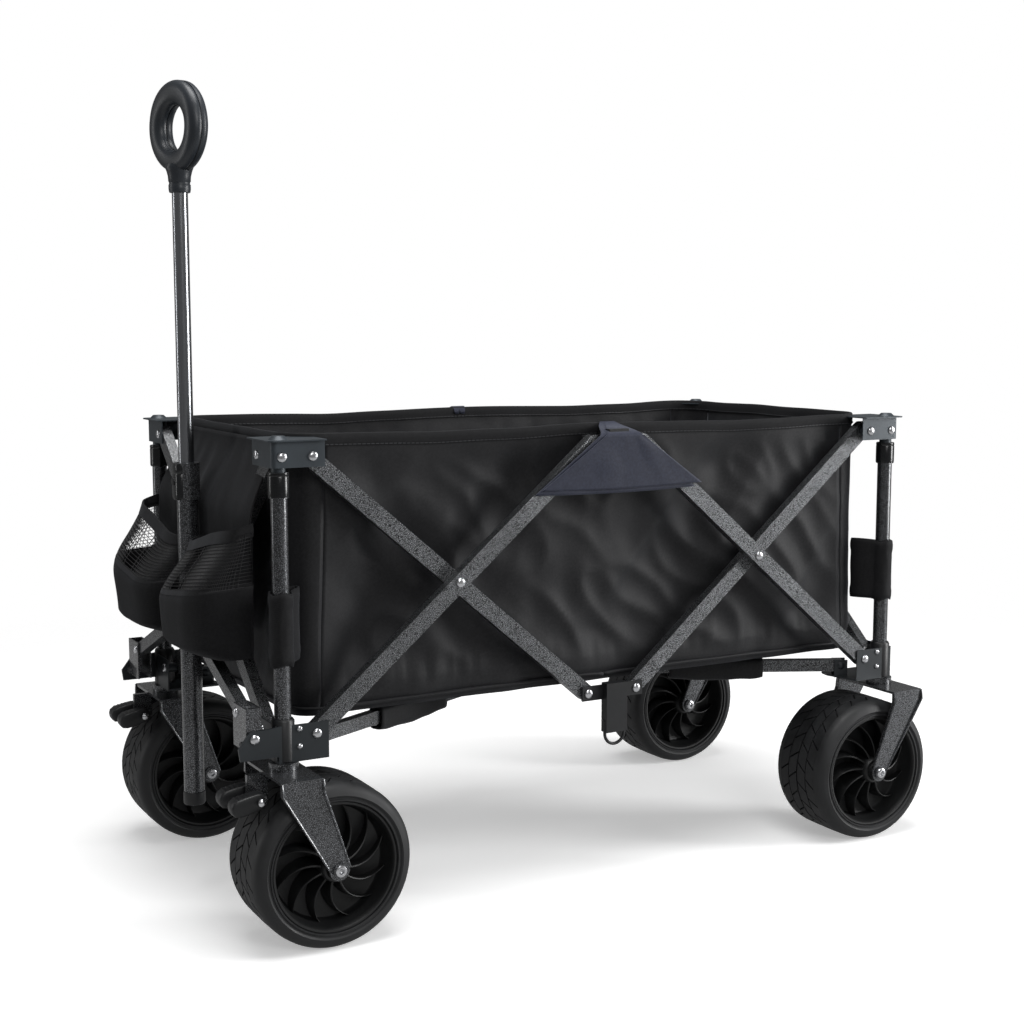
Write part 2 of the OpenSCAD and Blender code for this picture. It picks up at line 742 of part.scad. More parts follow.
for (c = CORNERS) {
  is_front = c[1] == 0;
  outer_low = c[2] == 0;    // the left corner's end bar lies in the outer lane
  trail = is_front ? front_trail : rear_lead;
  in_corner(c) post();
  in_corner(c) lower_bracket(is_front, outer_low);
  in_corner(c) upper_bracket(!outer_low);
  in_corner(c) side_low_bar();
  in_corner(c) side_high_bar();
  in_corner(c) end_bar(outer_low);
  in_corner(c) floor_arm();
  in_corner(c) {
    fork(trail);
    if (is_front) pedal_lugs();
  }
  in_corner(c) tyre(trail);
  in_corner(c) rim(trail);
  if (is_front) {
    in_corner(c) brake_pedal();
    in_corner(c) handle_channel();
    in_corner(c) yoke_arm(c[2] == 1);
  }
}
for (s = SIDES) {
  in_corner([0, 0, s[1]]) top_hub();
  in_corner([0, 0, s[1]]) bottom_hub();
  mirror([0, s[1], 0]) side_panel();
}
in_wagon() floor_spider();
in_wagon() yoke_hub();
in_wagon() pole_outer();
in_wagon() pole_inner();
in_wagon() grip();
union() {  // front_panel
  in_corner([0, 0, 0]) end_panel();
  for (s = [0, 1]) in_corner([0, 0, s]) pocket();
}
in_corner([0, 1, 0]) end_panel();  // rear_panel
floor_mat();
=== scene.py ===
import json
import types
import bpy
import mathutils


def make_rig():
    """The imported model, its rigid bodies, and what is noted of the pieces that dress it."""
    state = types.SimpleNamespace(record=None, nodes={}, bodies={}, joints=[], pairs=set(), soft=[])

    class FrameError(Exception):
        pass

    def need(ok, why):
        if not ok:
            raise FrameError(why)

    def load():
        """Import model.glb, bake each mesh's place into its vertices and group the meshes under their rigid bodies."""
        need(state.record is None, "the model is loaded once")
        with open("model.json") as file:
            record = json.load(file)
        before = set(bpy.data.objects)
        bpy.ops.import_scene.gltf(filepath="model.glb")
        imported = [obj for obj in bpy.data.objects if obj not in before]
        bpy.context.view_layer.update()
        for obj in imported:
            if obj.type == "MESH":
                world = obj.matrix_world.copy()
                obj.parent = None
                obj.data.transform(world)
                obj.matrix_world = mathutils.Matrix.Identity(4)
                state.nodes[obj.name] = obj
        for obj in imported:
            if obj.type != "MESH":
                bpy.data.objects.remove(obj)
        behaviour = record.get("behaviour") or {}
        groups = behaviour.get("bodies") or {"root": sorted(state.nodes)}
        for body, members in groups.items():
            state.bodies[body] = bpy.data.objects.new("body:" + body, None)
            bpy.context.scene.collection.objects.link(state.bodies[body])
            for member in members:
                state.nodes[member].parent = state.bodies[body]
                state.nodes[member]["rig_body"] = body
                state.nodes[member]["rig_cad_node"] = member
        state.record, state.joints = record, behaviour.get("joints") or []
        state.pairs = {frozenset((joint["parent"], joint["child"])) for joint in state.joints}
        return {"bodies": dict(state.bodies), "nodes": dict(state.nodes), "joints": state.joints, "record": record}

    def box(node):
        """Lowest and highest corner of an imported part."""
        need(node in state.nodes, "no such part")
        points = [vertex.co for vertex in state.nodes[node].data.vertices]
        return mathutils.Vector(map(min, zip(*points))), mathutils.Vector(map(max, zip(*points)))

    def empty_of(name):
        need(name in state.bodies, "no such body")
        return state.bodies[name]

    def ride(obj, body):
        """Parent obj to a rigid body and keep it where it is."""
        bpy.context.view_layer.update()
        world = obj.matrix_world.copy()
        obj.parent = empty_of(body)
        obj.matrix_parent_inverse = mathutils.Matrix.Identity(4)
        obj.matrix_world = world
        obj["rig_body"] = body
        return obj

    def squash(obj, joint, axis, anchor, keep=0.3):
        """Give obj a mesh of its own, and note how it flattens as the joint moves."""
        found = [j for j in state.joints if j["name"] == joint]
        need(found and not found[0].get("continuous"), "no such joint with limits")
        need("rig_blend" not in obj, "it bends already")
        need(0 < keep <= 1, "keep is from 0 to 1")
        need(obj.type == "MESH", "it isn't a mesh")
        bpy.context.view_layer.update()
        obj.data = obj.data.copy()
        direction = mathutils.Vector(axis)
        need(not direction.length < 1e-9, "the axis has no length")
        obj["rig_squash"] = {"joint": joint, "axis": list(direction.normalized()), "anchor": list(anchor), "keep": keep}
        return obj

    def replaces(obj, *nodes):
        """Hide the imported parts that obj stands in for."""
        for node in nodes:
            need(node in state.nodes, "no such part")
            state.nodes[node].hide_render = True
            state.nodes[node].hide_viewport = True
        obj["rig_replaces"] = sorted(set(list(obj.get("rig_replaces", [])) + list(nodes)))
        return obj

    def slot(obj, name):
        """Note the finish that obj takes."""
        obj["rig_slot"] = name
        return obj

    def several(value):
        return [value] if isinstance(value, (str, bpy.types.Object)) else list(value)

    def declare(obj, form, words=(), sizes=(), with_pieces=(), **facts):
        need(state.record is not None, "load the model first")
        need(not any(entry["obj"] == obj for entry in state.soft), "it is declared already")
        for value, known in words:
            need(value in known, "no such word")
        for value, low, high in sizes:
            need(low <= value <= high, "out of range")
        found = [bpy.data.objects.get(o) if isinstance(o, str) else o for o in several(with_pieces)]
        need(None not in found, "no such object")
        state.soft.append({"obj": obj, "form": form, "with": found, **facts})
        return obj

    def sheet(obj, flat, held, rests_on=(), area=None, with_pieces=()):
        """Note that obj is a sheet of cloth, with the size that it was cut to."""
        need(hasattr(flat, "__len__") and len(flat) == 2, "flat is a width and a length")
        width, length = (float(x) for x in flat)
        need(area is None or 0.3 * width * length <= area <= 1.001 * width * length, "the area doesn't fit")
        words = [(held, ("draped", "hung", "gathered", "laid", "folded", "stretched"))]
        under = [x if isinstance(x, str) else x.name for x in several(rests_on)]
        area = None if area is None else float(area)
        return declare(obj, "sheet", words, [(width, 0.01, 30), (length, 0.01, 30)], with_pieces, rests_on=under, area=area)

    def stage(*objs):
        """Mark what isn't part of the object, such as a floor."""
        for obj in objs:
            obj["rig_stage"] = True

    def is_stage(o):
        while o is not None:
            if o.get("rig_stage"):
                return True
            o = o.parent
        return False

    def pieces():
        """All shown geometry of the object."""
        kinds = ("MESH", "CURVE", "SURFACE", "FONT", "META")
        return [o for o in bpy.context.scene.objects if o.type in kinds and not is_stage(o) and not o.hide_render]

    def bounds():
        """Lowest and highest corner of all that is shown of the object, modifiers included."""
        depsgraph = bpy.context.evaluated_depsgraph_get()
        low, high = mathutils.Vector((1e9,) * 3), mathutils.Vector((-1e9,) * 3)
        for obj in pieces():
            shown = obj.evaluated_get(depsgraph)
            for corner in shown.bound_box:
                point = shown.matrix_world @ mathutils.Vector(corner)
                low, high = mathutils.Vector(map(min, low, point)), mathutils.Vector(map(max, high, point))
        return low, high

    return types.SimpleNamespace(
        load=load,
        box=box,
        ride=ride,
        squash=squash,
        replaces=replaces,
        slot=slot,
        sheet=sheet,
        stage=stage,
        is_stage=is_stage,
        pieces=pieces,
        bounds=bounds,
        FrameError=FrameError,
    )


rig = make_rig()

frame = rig.load()
CAD_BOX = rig.bounds()

import json
import math
from functools import partial

import bmesh
import bpy
from mathutils import Euler, Matrix, Vector, noise

bl_info = {
    "name": "Folding camp wagon",
    "version": (1, 0, 0),
    "blender": (4, 5, 0),
    "location": "View3D > Sidebar > Camp wagon",
    "description": "Cloth, finishes and fittings of a folding camp wagon around its packed frame",
    "category": "Object",
}

MM = 0.001

# ---- places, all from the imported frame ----

JOINTS = {j["name"]: j for j in frame["record"]["behaviour"]["joints"]}
CORNERS = {"front_left": (-1, -1), "front_right": (-1, 1), "rear_left": (1, -1), "rear_right": (1, 1)}
SIDES = {"left": -1, "right": 1}


def middle(node):
    """The middle of a CAD node's box, in mm."""
    low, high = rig.box(node)
    return (low + high) / 2 / MM


def height_of(joint):
    """The height of a joint's pivot, in mm."""
    return JOINTS[joint]["pos_m"][2] / MM


POST = {c: middle(c + "_post") for c in CORNERS}
CENTRE_X = (POST["front_left"].x + POST["rear_left"].x) / 2
POST_X = (POST["rear_left"].x - POST["front_left"].x) / 2
POST_Y = POST["front_right"].y
LOW_Z = height_of("frame_fold")
TOP_Z = height_of("left_top_hub_pivot")
CROSS_Z = (LOW_Z + TOP_Z) / 2
RIM_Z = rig.box("rear_panel")[1].z / MM
FLOOR_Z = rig.box("floor_mat")[0].z / MM
HALF_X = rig.box("rear_panel")[1].x / MM - CENTRE_X      # outer face of the tub's end walls
WALL_IN = POST_X - HALF_X
HALF_Y = POST_Y - WALL_IN                               # outer face of its side walls
CROSS_IN = JOINTS["front_left_cross"]["pos_m"][0] / MM - POST["front_left"].x   # crossings, in from the post
PIVOT_INSET = POST_Y + JOINTS["front_left_end_foot"]["pos_m"][1] / MM
HUB_HALF = CENTRE_X - JOINTS["left_top_hub_pivot"]["pos_m"][0] / MM
EAR_OUT = 11.5                                          # face of a bracket's ears from the post's axis
OUTER_LANE = 9.6                                        # face of the outer bars from the post's axis
CHANNEL_OUT = 37                                        # hinge line of the handle's channels from the post
HANDLE_X = middle("pole_inner").x
TYRE_LOW, TYRE_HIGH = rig.box("front_left_tyre")
WHEEL_R = (TYRE_HIGH.z - TYRE_LOW.z) / 2 / MM
TYRE_HALF = (TYRE_HIGH.y - TYRE_LOW.y) / 2 / MM
FORK_HALF = 55.5                                        # middle of a fork arm's sheet from the wheel's middle
FORK_TOP = 2 * WHEEL_R + 12.2
AXLE_HALF = 57.1                                        # outer face of a fork arm


def at(corner, x, y, z):
    """A point in metres from mm, x and y inwards from a corner's post and z up from the ground."""
    sx, sy = CORNERS[corner]
    post = POST[corner]
    return Vector((post.x - sx * x, post.y - sy * y, z)) * MM


# ---- finishes ----


def linear(hex_colour):
    """An sRGB hex value as the linear RGBA that a shader takes."""
    parts = [int(hex_colour[i:i + 2], 16) / 255 for i in (1, 3, 5)]
    return tuple(c / 12.92 if c <= 0.04045 else ((c + 0.055) / 1.055) ** 2.4 for c in parts) + (1.0,)


def add_node(tree, kind, inputs=None, **settings):
    """Adds a shader node with its settings; an input is a value or another node's output."""
    made = tree.nodes.new("ShaderNode" + kind)
    for name, value in settings.items():
        setattr(made, name, value)
    for name, value in (inputs or {}).items():
        if isinstance(value, bpy.types.NodeSocket):
            tree.links.new(value, made.inputs[name])
        else:
            made.inputs[name].default_value = value
    return made


def start_finish(name, **values):
    """A new material with its Principled shader, constants set on the shader's own sockets."""
    made = bpy.data.materials.new(name)
    made.use_nodes = True
    tree = made.node_tree
    shader = tree.nodes["Principled BSDF"]
    for socket, value in values.items():
        shader.inputs[socket.replace("_", " ")].default_value = value
    where = add_node(tree, "TexCoord").outputs["Object"]
    return made, tree, shader, where


def mixed(tree, factor, low, high):
    """A colour between two, by a factor."""
    return add_node(tree, "Mix", {0: factor, 6: low, 7: high}, data_type="RGBA").outputs[2]


def spread(tree, value, low, high, to_low=0.0, to_high=1.0):
    """A value's range from low to high stretched over another range."""
    return add_node(tree, "MapRange", {"Value": value, "From Min": low, "From Max": high,
                                       "To Min": to_low, "To Max": to_high}).outputs["Result"]


def hammered_powder_coat(name, hollow, top, pebble_mm, roughness, relief, gloss):
    """Steel tube in hammered powder coat: the coat draws into pebbles with glossy tops and dark rims."""
    made, tree, shader, where = start_finish(name, Metallic=0.8)
    shader.inputs["Coat Weight"].default_value = gloss
    shader.inputs["Coat Roughness"].default_value = 0.12
    wander = add_node(tree, "TexNoise", {"Vector": where, "Scale": 1 / (3 * pebble_mm * MM), "Detail": 2.0})
    wander_by = (0.0011, 0.0011, 0.0011)
    bent = add_node(tree, "VectorMath", {0: wander.outputs["Color"], 1: wander_by, 2: where},
                    operation="MULTIPLY_ADD")
    pebbles = add_node(tree, "TexVoronoi", {"Vector": bent.outputs[0], "Scale": 1 / (pebble_mm * MM)},
                       feature="DISTANCE_TO_EDGE")
    crown = spread(tree, pebbles.outputs["Distance"], 0.02, 0.32)
    patches = add_node(tree, "TexNoise", {"Vector": where, "Scale": 1 / (60 * MM), "Detail": 3.0})
    colour = mixed(tree, crown, hollow, top)
    worn = spread(tree, patches.outputs["Fac"], 0.35, 0.75, 0.0, 0.28)
    tree.links.new(mixed(tree, worn, colour, hollow), shader.inputs["Base Color"])
    tree.links.new(spread(tree, crown, 0, 1, roughness + 0.16, roughness), shader.inputs["Roughness"])
    bump = add_node(tree, "Bump", {"Height": crown, "Strength": relief, "Distance": 0.35 * MM})
    tree.links.new(bump.outputs["Normal"], shader.inputs["Normal"])
    return made


def satin_powder_coat(name, colour):
    """Pressed steel sheet in satin slate powder coat: an even orange peel and faint lighter patches."""
    made, tree, shader, where = start_finish(name, Metallic=0.35, Roughness=0.46)
    shader.inputs["Coat Weight"].default_value = 0.12
    shader.inputs["Coat Roughness"].default_value = 0.3
    peel = add_node(tree, "TexNoise", {"Vector": where, "Scale": 1 / (1.1 * MM), "Detail": 2.0})
    cloud = add_node(tree, "TexNoise", {"Vector": where, "Scale": 1 / (35 * MM), "Detail": 4.0})
    shade = spread(tree, cloud.outputs["Fac"], 0.3, 0.7)
    pale = tuple(min(1, c * 1.35) for c in colour[:3]) + (1.0,)
    tree.links.new(mixed(tree, shade, colour, pale), shader.inputs["Base Color"])
    bump = add_node(tree, "Bump", {"Height": peel.outputs["Fac"], "Strength": 0.25, "Distance": 0.12 * MM})
    tree.links.new(bump.outputs["Normal"], shader.inputs["Normal"])
    return made


def zinc_plate(colour):
    """Bright zinc-plated steel rivets and bolts: a clear metal shine with fine tumbling marks."""
    made, tree, shader, where = start_finish("zinc_plated_steel", Metallic=1.0)
    marks = add_node(tree, "TexNoise", {"Vector": where, "Scale": 1 / (0.7 * MM), "Detail": 3.0})
    dulled = tuple(0.68 * c for c in colour[:3]) + (1.0,)
    shade = spread(tree, marks.outputs["Fac"], 0.35, 0.7)
    tree.links.new(mixed(tree, shade, colour, dulled), shader.inputs["Base Color"])
    tree.links.new(spread(tree, shade, 0, 1, 0.18, 0.34), shader.inputs["Roughness"])
    bump = add_node(tree, "Bump", {"Height": marks.outputs["Fac"], "Strength": 0.12, "Distance": 0.1 * MM})
    tree.links.new(bump.outputs["Normal"], shader.inputs["Normal"])
    return made


def black_chrome(colour):
    """Black-chromed sliding tube: a dark mirror with faint lengthwise drawing lines."""
    made, tree, shader, where = start_finish("black_chromed_tube", Metallic=1.0)
    stretched = add_node(tree, "Mapping", {"Vector": where, "Scale": (1.0, 1.0, 0.02)})
    lines = add_node(tree, "TexNoise", {"Vector": stretched.outputs["Vector"], "Scale": 1 / (0.8 * MM)})
    dark = tuple(0.72 * c for c in colour[:3]) + (1.0,)
    shade = spread(tree, lines.outputs["Fac"], 0.3, 0.7)
    tree.links.new(mixed(tree, shade, colour, dark), shader.inputs["Base Color"])
    tree.links.new(spread(tree, shade, 0, 1, 0.16, 0.27), shader.inputs["Roughness"])
    bump = add_node(tree, "Bump", {"Height": lines.outputs["Fac"], "Strength": 0.02, "Distance": 0.05 * MM})
    tree.links.new(bump.outputs["Normal"], shader.inputs["Normal"])
    return made


def moulded_plastic(name, colour, roughness, grain_mm, depth=0.1):
    """Injection-moulded plastic: a spark-eroded grain, a little flow shading and rubbed high spots."""
    made, tree, shader, where = start_finish(name, IOR=1.5)
    grain = add_node(tree, "TexNoise", {"Vector": where, "Scale": 1 / (grain_mm * MM), "Detail": 3.0})
    flow = add_node(tree, "TexNoise", {"Vector": where, "Scale": 1 / (45 * MM), "Detail": 3.0})
    shade = spread(tree, flow.outputs["Fac"], 0.3, 0.7)
    pale = tuple(min(1, 1.5 * c + 0.002) for c in colour[:3]) + (1.0,)
    tree.links.new(mixed(tree, shade, colour, pale), shader.inputs["Base Color"])
    tree.links.new(spread(tree, grain.outputs["Fac"], 0.3, 0.7, roughness - 0.06, roughness + 0.08),
                   shader.inputs["Roughness"])
    bump = add_node(tree, "Bump", {"Height": grain.outputs["Fac"], "Strength": 0.3, "Distance": depth * MM})
    tree.links.new(bump.outputs["Normal"], shader.inputs["Normal"])
    return made


def foam_rubber(colour):
    """Moulded foam tyre rubber: a dull skin with fine pits and dusty grey on its crowns."""
    made, tree, shader, where = start_finish("moulded_foam_rubber", IOR=1.52)
    pits = add_node(tree, "TexVoronoi", {"Vector": where, "Scale": 1 / (1.6 * MM)})
    dust = add_node(tree, "TexNoise", {"Vector": where, "Scale": 1 / (22 * MM), "Detail": 5.0})
    shade = spread(tree, dust.outputs["Fac"], 0.4, 0.75)
    pale = tuple(1.9 * c + 0.004 for c in colour[:3]) + (1.0,)
    tree.links.new(mixed(tree, shade, colour, pale), shader.inputs["Base Color"])
    tree.links.new(spread(tree, dust.outputs["Fac"], 0.3, 0.7, 0.5, 0.68), shader.inputs["Roughness"])
    bump = add_node(tree, "Bump", {"Height": pits.outputs["Distance"], "Strength": 0.2,
                                   "Distance": 0.2 * MM})
    tree.links.new(bump.outputs["Normal"], shader.inputs["Normal"])
    return made


def woven_cloth(name, colour, thread_mm, sheen, roughness=0.62):
    """Coated oxford cloth: crossing threads, slubs and a soft bloom where the light grazes it.
    Real threads are 0.5 mm apart and too fine to show, so they are drawn up to four times as coarse."""
    made, tree, shader, where = start_finish(name, IOR=1.45, Specular_IOR_Level=0.3)
    shader.inputs["Sheen Weight"].default_value = sheen
    shader.inputs["Sheen Roughness"].default_value = 0.45
    shader.inputs["Sheen Tint"].default_value = (0.72, 0.76, 0.84, 1.0)
    scale = 1 / (thread_mm * MM)
    across = add_node(tree, "TexWave", {"Vector": where, "Scale": scale / 2, "Distortion": 0.6,
                                        "Detail": 1.0}, wave_type="BANDS", bands_direction="Z")
    turned = add_node(tree, "Mapping", {"Vector": where, "Rotation": (0, 0, 0.001)})
    along = add_node(tree, "TexWave", {"Vector": turned.outputs["Vector"], "Scale": scale / 2,
                                       "Distortion": 0.6, "Detail": 1.0},
                     wave_type="BANDS", bands_direction="DIAGONAL")
    weave = add_node(tree, "Math", {0: across.outputs["Fac"], 1: along.outputs["Fac"]},
                     operation="MULTIPLY").outputs[0]
    slubs = add_node(tree, "TexNoise", {"Vector": where, "Scale": 1 / (3 * MM), "Detail": 4.0})
    cloud = add_node(tree, "TexNoise", {"Vector": where, "Scale": 1 / (70 * MM), "Detail": 3.0})
    shade = spread(tree, slubs.outputs["Fac"], 0.35, 0.7, 0.0, 0.7)
    pale = tuple(1.7 * c + 0.003 for c in colour[:3]) + (1.0,)
    threads = mixed(tree, shade, colour, pale)
    faded = spread(tree, cloud.outputs["Fac"], 0.4, 0.75, 0.0, 0.35)
    tree.links.new(mixed(tree, faded, threads, pale), shader.inputs["Base Color"])
    tree.links.new(spread(tree, weave, 0, 1, roughness + 0.1, roughness - 0.06), shader.inputs["Roughness"])
    bump = add_node(tree, "Bump", {"Height": weave, "Strength": 0.3, "Distance": 0.25 * MM})
    tree.links.new(bump.outputs["Normal"], shader.inputs["Normal"])
    return made


FINISH = {}


def make_finishes(colours):
    """Fills FINISH with this wagon's materials, from the colours that a user can set."""
    rgba = {name: tuple(getattr(colours, name)) + (1.0,) for name in colours.__annotations__}
    FINISH.update({
        "tube": hammered_powder_coat("hammered_charcoal_tube", linear("#0b0c0d"), rgba["tube"],
                                     pebble_mm=1.9, roughness=0.28, relief=0.22, gloss=0.8),
        "bar": hammered_powder_coat("hammered_silver_bar", linear("#0d0e0f"), rgba["bar"],
                                    pebble_mm=1.7, roughness=0.3, relief=0.5, gloss=0.5),
        "sheet": satin_powder_coat("satin_powder_coated_sheet", rgba["sheet"]),
        # The lower brackets take a darker copy of the top brackets' satin coat: painted shade for their place low under
        # the tub.
        "bracket": satin_powder_coat("satin_powder_coat_darkened_for_shade", rgba["bracket"]),
        "zinc": zinc_plate(rgba["zinc"]),
        "chrome": black_chrome(rgba["slide"]),
        "plastic": moulded_plastic("moulded_black_polypropylene", rgba["plastic"], 0.42, 0.8),
        "gloss": moulded_plastic("moulded_glossy_acetal", rgba["plastic"], 0.2, 1.6, 0.03),
        "rim": moulded_plastic("moulded_black_nylon", rgba["rim"], 0.5, 1.0),
        "grip": moulded_plastic("moulded_slate_abs", rgba["grip"], 0.38, 0.7),
        "tyre": foam_rubber(rgba["tyre"]),
        "cloth": woven_cloth("coated_oxford_cloth", rgba["cloth"], 1.5, 0.12, 0.5),
        "flap": woven_cloth("coated_oxford_flap", rgba["flap"], 1.2, 0.3, 0.55),
        # The pocket cloth is duller than the tub's cloth, and takes the darker tape colour as painted shade for the
        # front end.
        "pocket": woven_cloth("napped_pocket_cloth_darkened_for_shade", rgba["tape"], 1.6, 0.04, 0.8),
        "tape": woven_cloth("woven_binding_tape", rgba["tape"], 1.8, 0.06, 0.7),
        "net": moulded_plastic("knitted_polyester_net", rgba["net"], 0.55, 0.6),
        "thread": moulded_plastic("twisted_polyester_thread", rgba["thread"], 0.5, 0.5),
    })


# ---- making meshes ----


class Shape:
    """Collects skins into one mesh."""

    def __init__(self):
        self.verts, self.faces = [], []

    def add(self, verts, faces, place=None):
        """Adds points, moved to their place, and the faces between them."""
        start = len(self.verts)
        self.verts += [place @ Vector(v) if place else Vector(v) for v in verts]
        self.faces += [[start + i for i in face] for face in faces]
        return self

    def skin(self, rings, place=None, round_ring=True, capped=True, round_path=False):
        """A skin over rings of equally many points."""
        n, m = len(rings), len(rings[0])
        faces = []
        for i in range(n if round_path else n - 1):
            for j in range(m if round_ring else m - 1):
                row, above, k = i * m, (i + 1) % n * m, (j + 1) % m
                faces.append([row + j, row + k, above + k, above + j])
        if capped and round_ring and not round_path:
            faces += [list(range(m))[::-1], [(n - 1) * m + j for j in range(m)]]
        return self.add([p for ring in rings for p in ring], faces, place)

    def lathe(self, profile, place=None, steps=48, capped=True, closed=False):
        """A profile of (radius, height) points turned about Z."""
        rings = [[(r * math.cos(a), r * math.sin(a), h) for a in round_turn(steps)] for r, h in profile]
        return self.skin(rings, place, capped=capped and not closed, round_path=closed)

    def piece(self, name, finish, body, slot, sharp=35, thickness=0.0):
        """Makes the object; thickness in metres turns an open skin into cloth."""
        mesh = bpy.data.meshes.new(name)
        mesh.from_pydata(self.verts, [], self.faces)
        work = bmesh.new()
        work.from_mesh(mesh)
        bmesh.ops.remove_doubles(work, verts=work.verts, dist=1e-6)
        bmesh.ops.recalc_face_normals(work, faces=work.faces)
        work.to_mesh(mesh)
        work.free()
        mesh.shade_smooth()
        mesh.set_sharp_from_angle(angle=math.radians(sharp))
        mesh.materials.append(FINISH[finish])
        obj = bpy.data.objects.new(name, mesh)
        bpy.context.scene.collection.objects.link(obj)
        if thickness:
            solid = obj.modifiers.new("thickness", "SOLIDIFY")
            solid.thickness = thickness
            solid.offset = 0
        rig.ride(obj, body)
        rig.slot(obj, slot)
        return obj


def towards(point, direction):
    """A placement at a point in metres with its Z along a direction, for shapes in mm."""
    turned = Vector(direction).to_track_quat("Z", "Y").to_matrix().to_4x4()
    return Matrix.Translation(point) @ turned @ Matrix.Scale(MM, 4)


def upright(point):
    """A placement at a point in metres with its Z up, for shapes in mm."""
    return Matrix.Translation(point) @ Matrix.Scale(MM, 4)


def on_wheel(corner):
    """A placement at a wheel's middle with its Z along the axle, for shapes in mm."""
    turned = Euler((math.pi / 2, 0, 0)).to_matrix().to_4x4()
    return Matrix.Translation(middle(corner + "_rim") * MM) @ turned @ Matrix.Scale(MM, 4)


def round_turn(steps):
    """The angles of equal steps round a circle."""
    return [2 * math.pi * i / steps for i in range(steps)]


def squared(value, power):
    """A sine or cosine drawn towards a square's side, with its sign kept."""
    return math.copysign(abs(value) ** power, value)


def grid(nu, nv, point):
    """Rows of points over u and v from 0 to 1."""
    return [[point(i / (nu - 1), j / (nv - 1)) for i in range(nu)] for j in range(nv)]


def eased(t):
    """A smooth step from 0 to 1, flat at both ends."""
    t = min(1.0, max(0.0, t))
    return t * t * (3 - 2 * t)


# ---- the cloth tub ----

CORNER_R_LOW, CORNER_R_TOP = 34.0, 42.0
WALL_T = 2.4
WALL_ROWS = 56
WALL_LOW = FLOOR_Z - 4                                  # lower edge of the walls
SEAM_UP = 18.0                                          # the lower seam over the floor
TAPE_DEEP = 15.0                                        # binding tape on each face of the rim
STITCH_PITCH = 5.6


def corner_r(z):
    """How widely the cloth rounds the tub's corner at a height."""
    return CORNER_R_LOW + (CORNER_R_TOP - CORNER_R_LOW) * eased((z - FLOOR_Z) / (RIM_Z - FLOOR_Z))


def slack(x, y, z, folds):
    """How far the cloth lies inside its flat place: broad sags, soft creases and a tucked lower edge.
    The numbers that divide x, y and z are the spacings of the folds in mm."""
    up = (z - FLOOR_Z) / (RIM_Z - FLOOR_Z)
    beside = max(HALF_X - abs(x - CENTRE_X), 0) + max(HALF_Y - abs(y), 0)
    held = eased(min(up, 1 - up) * 5) * (0.12 + 0.88 * eased((beside - 20) / 90))
    broad = 0.5 + noise.noise(Vector((x / 150, y / 120, z / 140)))
    crease = abs(noise.noise(Vector((x / 60 + z / 95, y / 60 + z / 95, z / 130 + 4.0)))) ** 0.7
    ripple = noise.noise(Vector((x / 26, y / 26, z / 90 + 9.0)))
    low = eased(1 - up * 3.2)
    gather = math.sin(x / 17 + 3 * noise.noise(Vector((x / 90, y / 50, 2)))) * low * 1.3
    seam_near = (z - FLOOR_Z - SEAM_UP) / 26
    pleats = max(0.0, noise.noise(Vector((x / 13, y / 13, 3.0 + z / 160))))
    pleats *= math.exp(-(seam_near - 0.45) ** 2 * 3)
    sewn = 2.4 * math.exp(-(seam_near * 5) ** 2)
    tuck = 7 * eased(1 - up * 16)
    drape = max(0.0, noise.noise(Vector((x / 105 - z / 210, y / 70, z / 260 + 2.0)))) ** 0.8
    depth = 5.5 * broad + 8.0 * crease + 15.0 * drape + 1.1 * ripple + 7.0 * pleats
    return folds * held * depth + sewn + gather + tuck + 0.4


def rim_height(point, u):
    """The height of a wall's rim, which hangs a little between the brackets and the hubs."""
    x, y, _ = point(u, RIM_Z, 0.0) / MM
    along = abs(x - CENTRE_X) / HALF_X
    hang = 3.2 * math.sin(math.pi * min(1, along)) ** 2
    return RIM_Z - hang + 1.2 * noise.noise(Vector((x / 80, y / 80, 0)))


def wall_point(x, y, out, z, folds, more=0.0):
    """A point of the wall in metres: out is its outward direction in plan."""
    inward = slack(x, y, z, folds) + more
    return Vector((x - out[0] * inward, y - out[1] * inward, z)) * MM


def side_wall_point(sy, u, z, folds, more=0.0):
    """A point of a side wall, u from 0 at the front to 1 at the rear."""
    x = CENTRE_X + (2 * u - 1) * (HALF_X - corner_r(z))
    return wall_point(x, sy * HALF_Y, (0, sy), z, folds, more)


def end_wall_point(sx, u, z, folds, more=0.0):
    """A point of an end wall, u from 0 at the left to 1 at the right."""
    y = (2 * u - 1) * (HALF_Y - corner_r(z))
    return wall_point(CENTRE_X + sx * HALF_X, y, (sx, 0), z, folds, more)


def corner_wall_point(sx, sy, u, z, folds, more=0.0):
    """A point of a rounded corner, u from 0 at the side to 1 at the end."""
    r, a = corner_r(z), u * math.pi / 2
    out = (sx * math.sin(a), sy * math.cos(a))
    x = CENTRE_X + sx * (HALF_X - r) + out[0] * r
    y = sy * (HALF_Y - r) + out[1] * r
    return wall_point(x, y, out, z, folds, more)


def wall_parts():
    """Every stretch of the wall: name, body, its point function, columns, length and how it folds up."""
    side_long, end_long = 2 * (HALF_X - CORNER_R_TOP), 2 * (HALF_Y - CORNER_R_TOP)
    for side, sy in SIDES.items():
        packs = dict(axis=(1, 0, 0), anchor=(CENTRE_X * MM, sy * HALF_Y * MM, RIM_Z * MM), keep=0.3)
        yield side + "_side", side + "_top_hub", partial(side_wall_point, sy), 150, side_long, packs
    for end, sx in (("front", -1), ("rear", 1)):
        packs = dict(axis=(0, 1, 0), anchor=tuple(at(end + "_left", 40, 40, RIM_Z)), keep=0.2)
        yield end + "_end", end + "_left_upper", partial(end_wall_point, sx), 70, end_long, packs
    for c, (sx, sy) in CORNERS.items():
        long = CORNER_R_TOP * math.pi / 2
        yield c + "_corner", c + "_upper", partial(corner_wall_point, sx, sy), 14, long, None


STANDS_FOR = {"left_side": "left_side_panel", "right_side": "right_side_panel", "front_end": "front_panel",
              "rear_end": "rear_panel"}


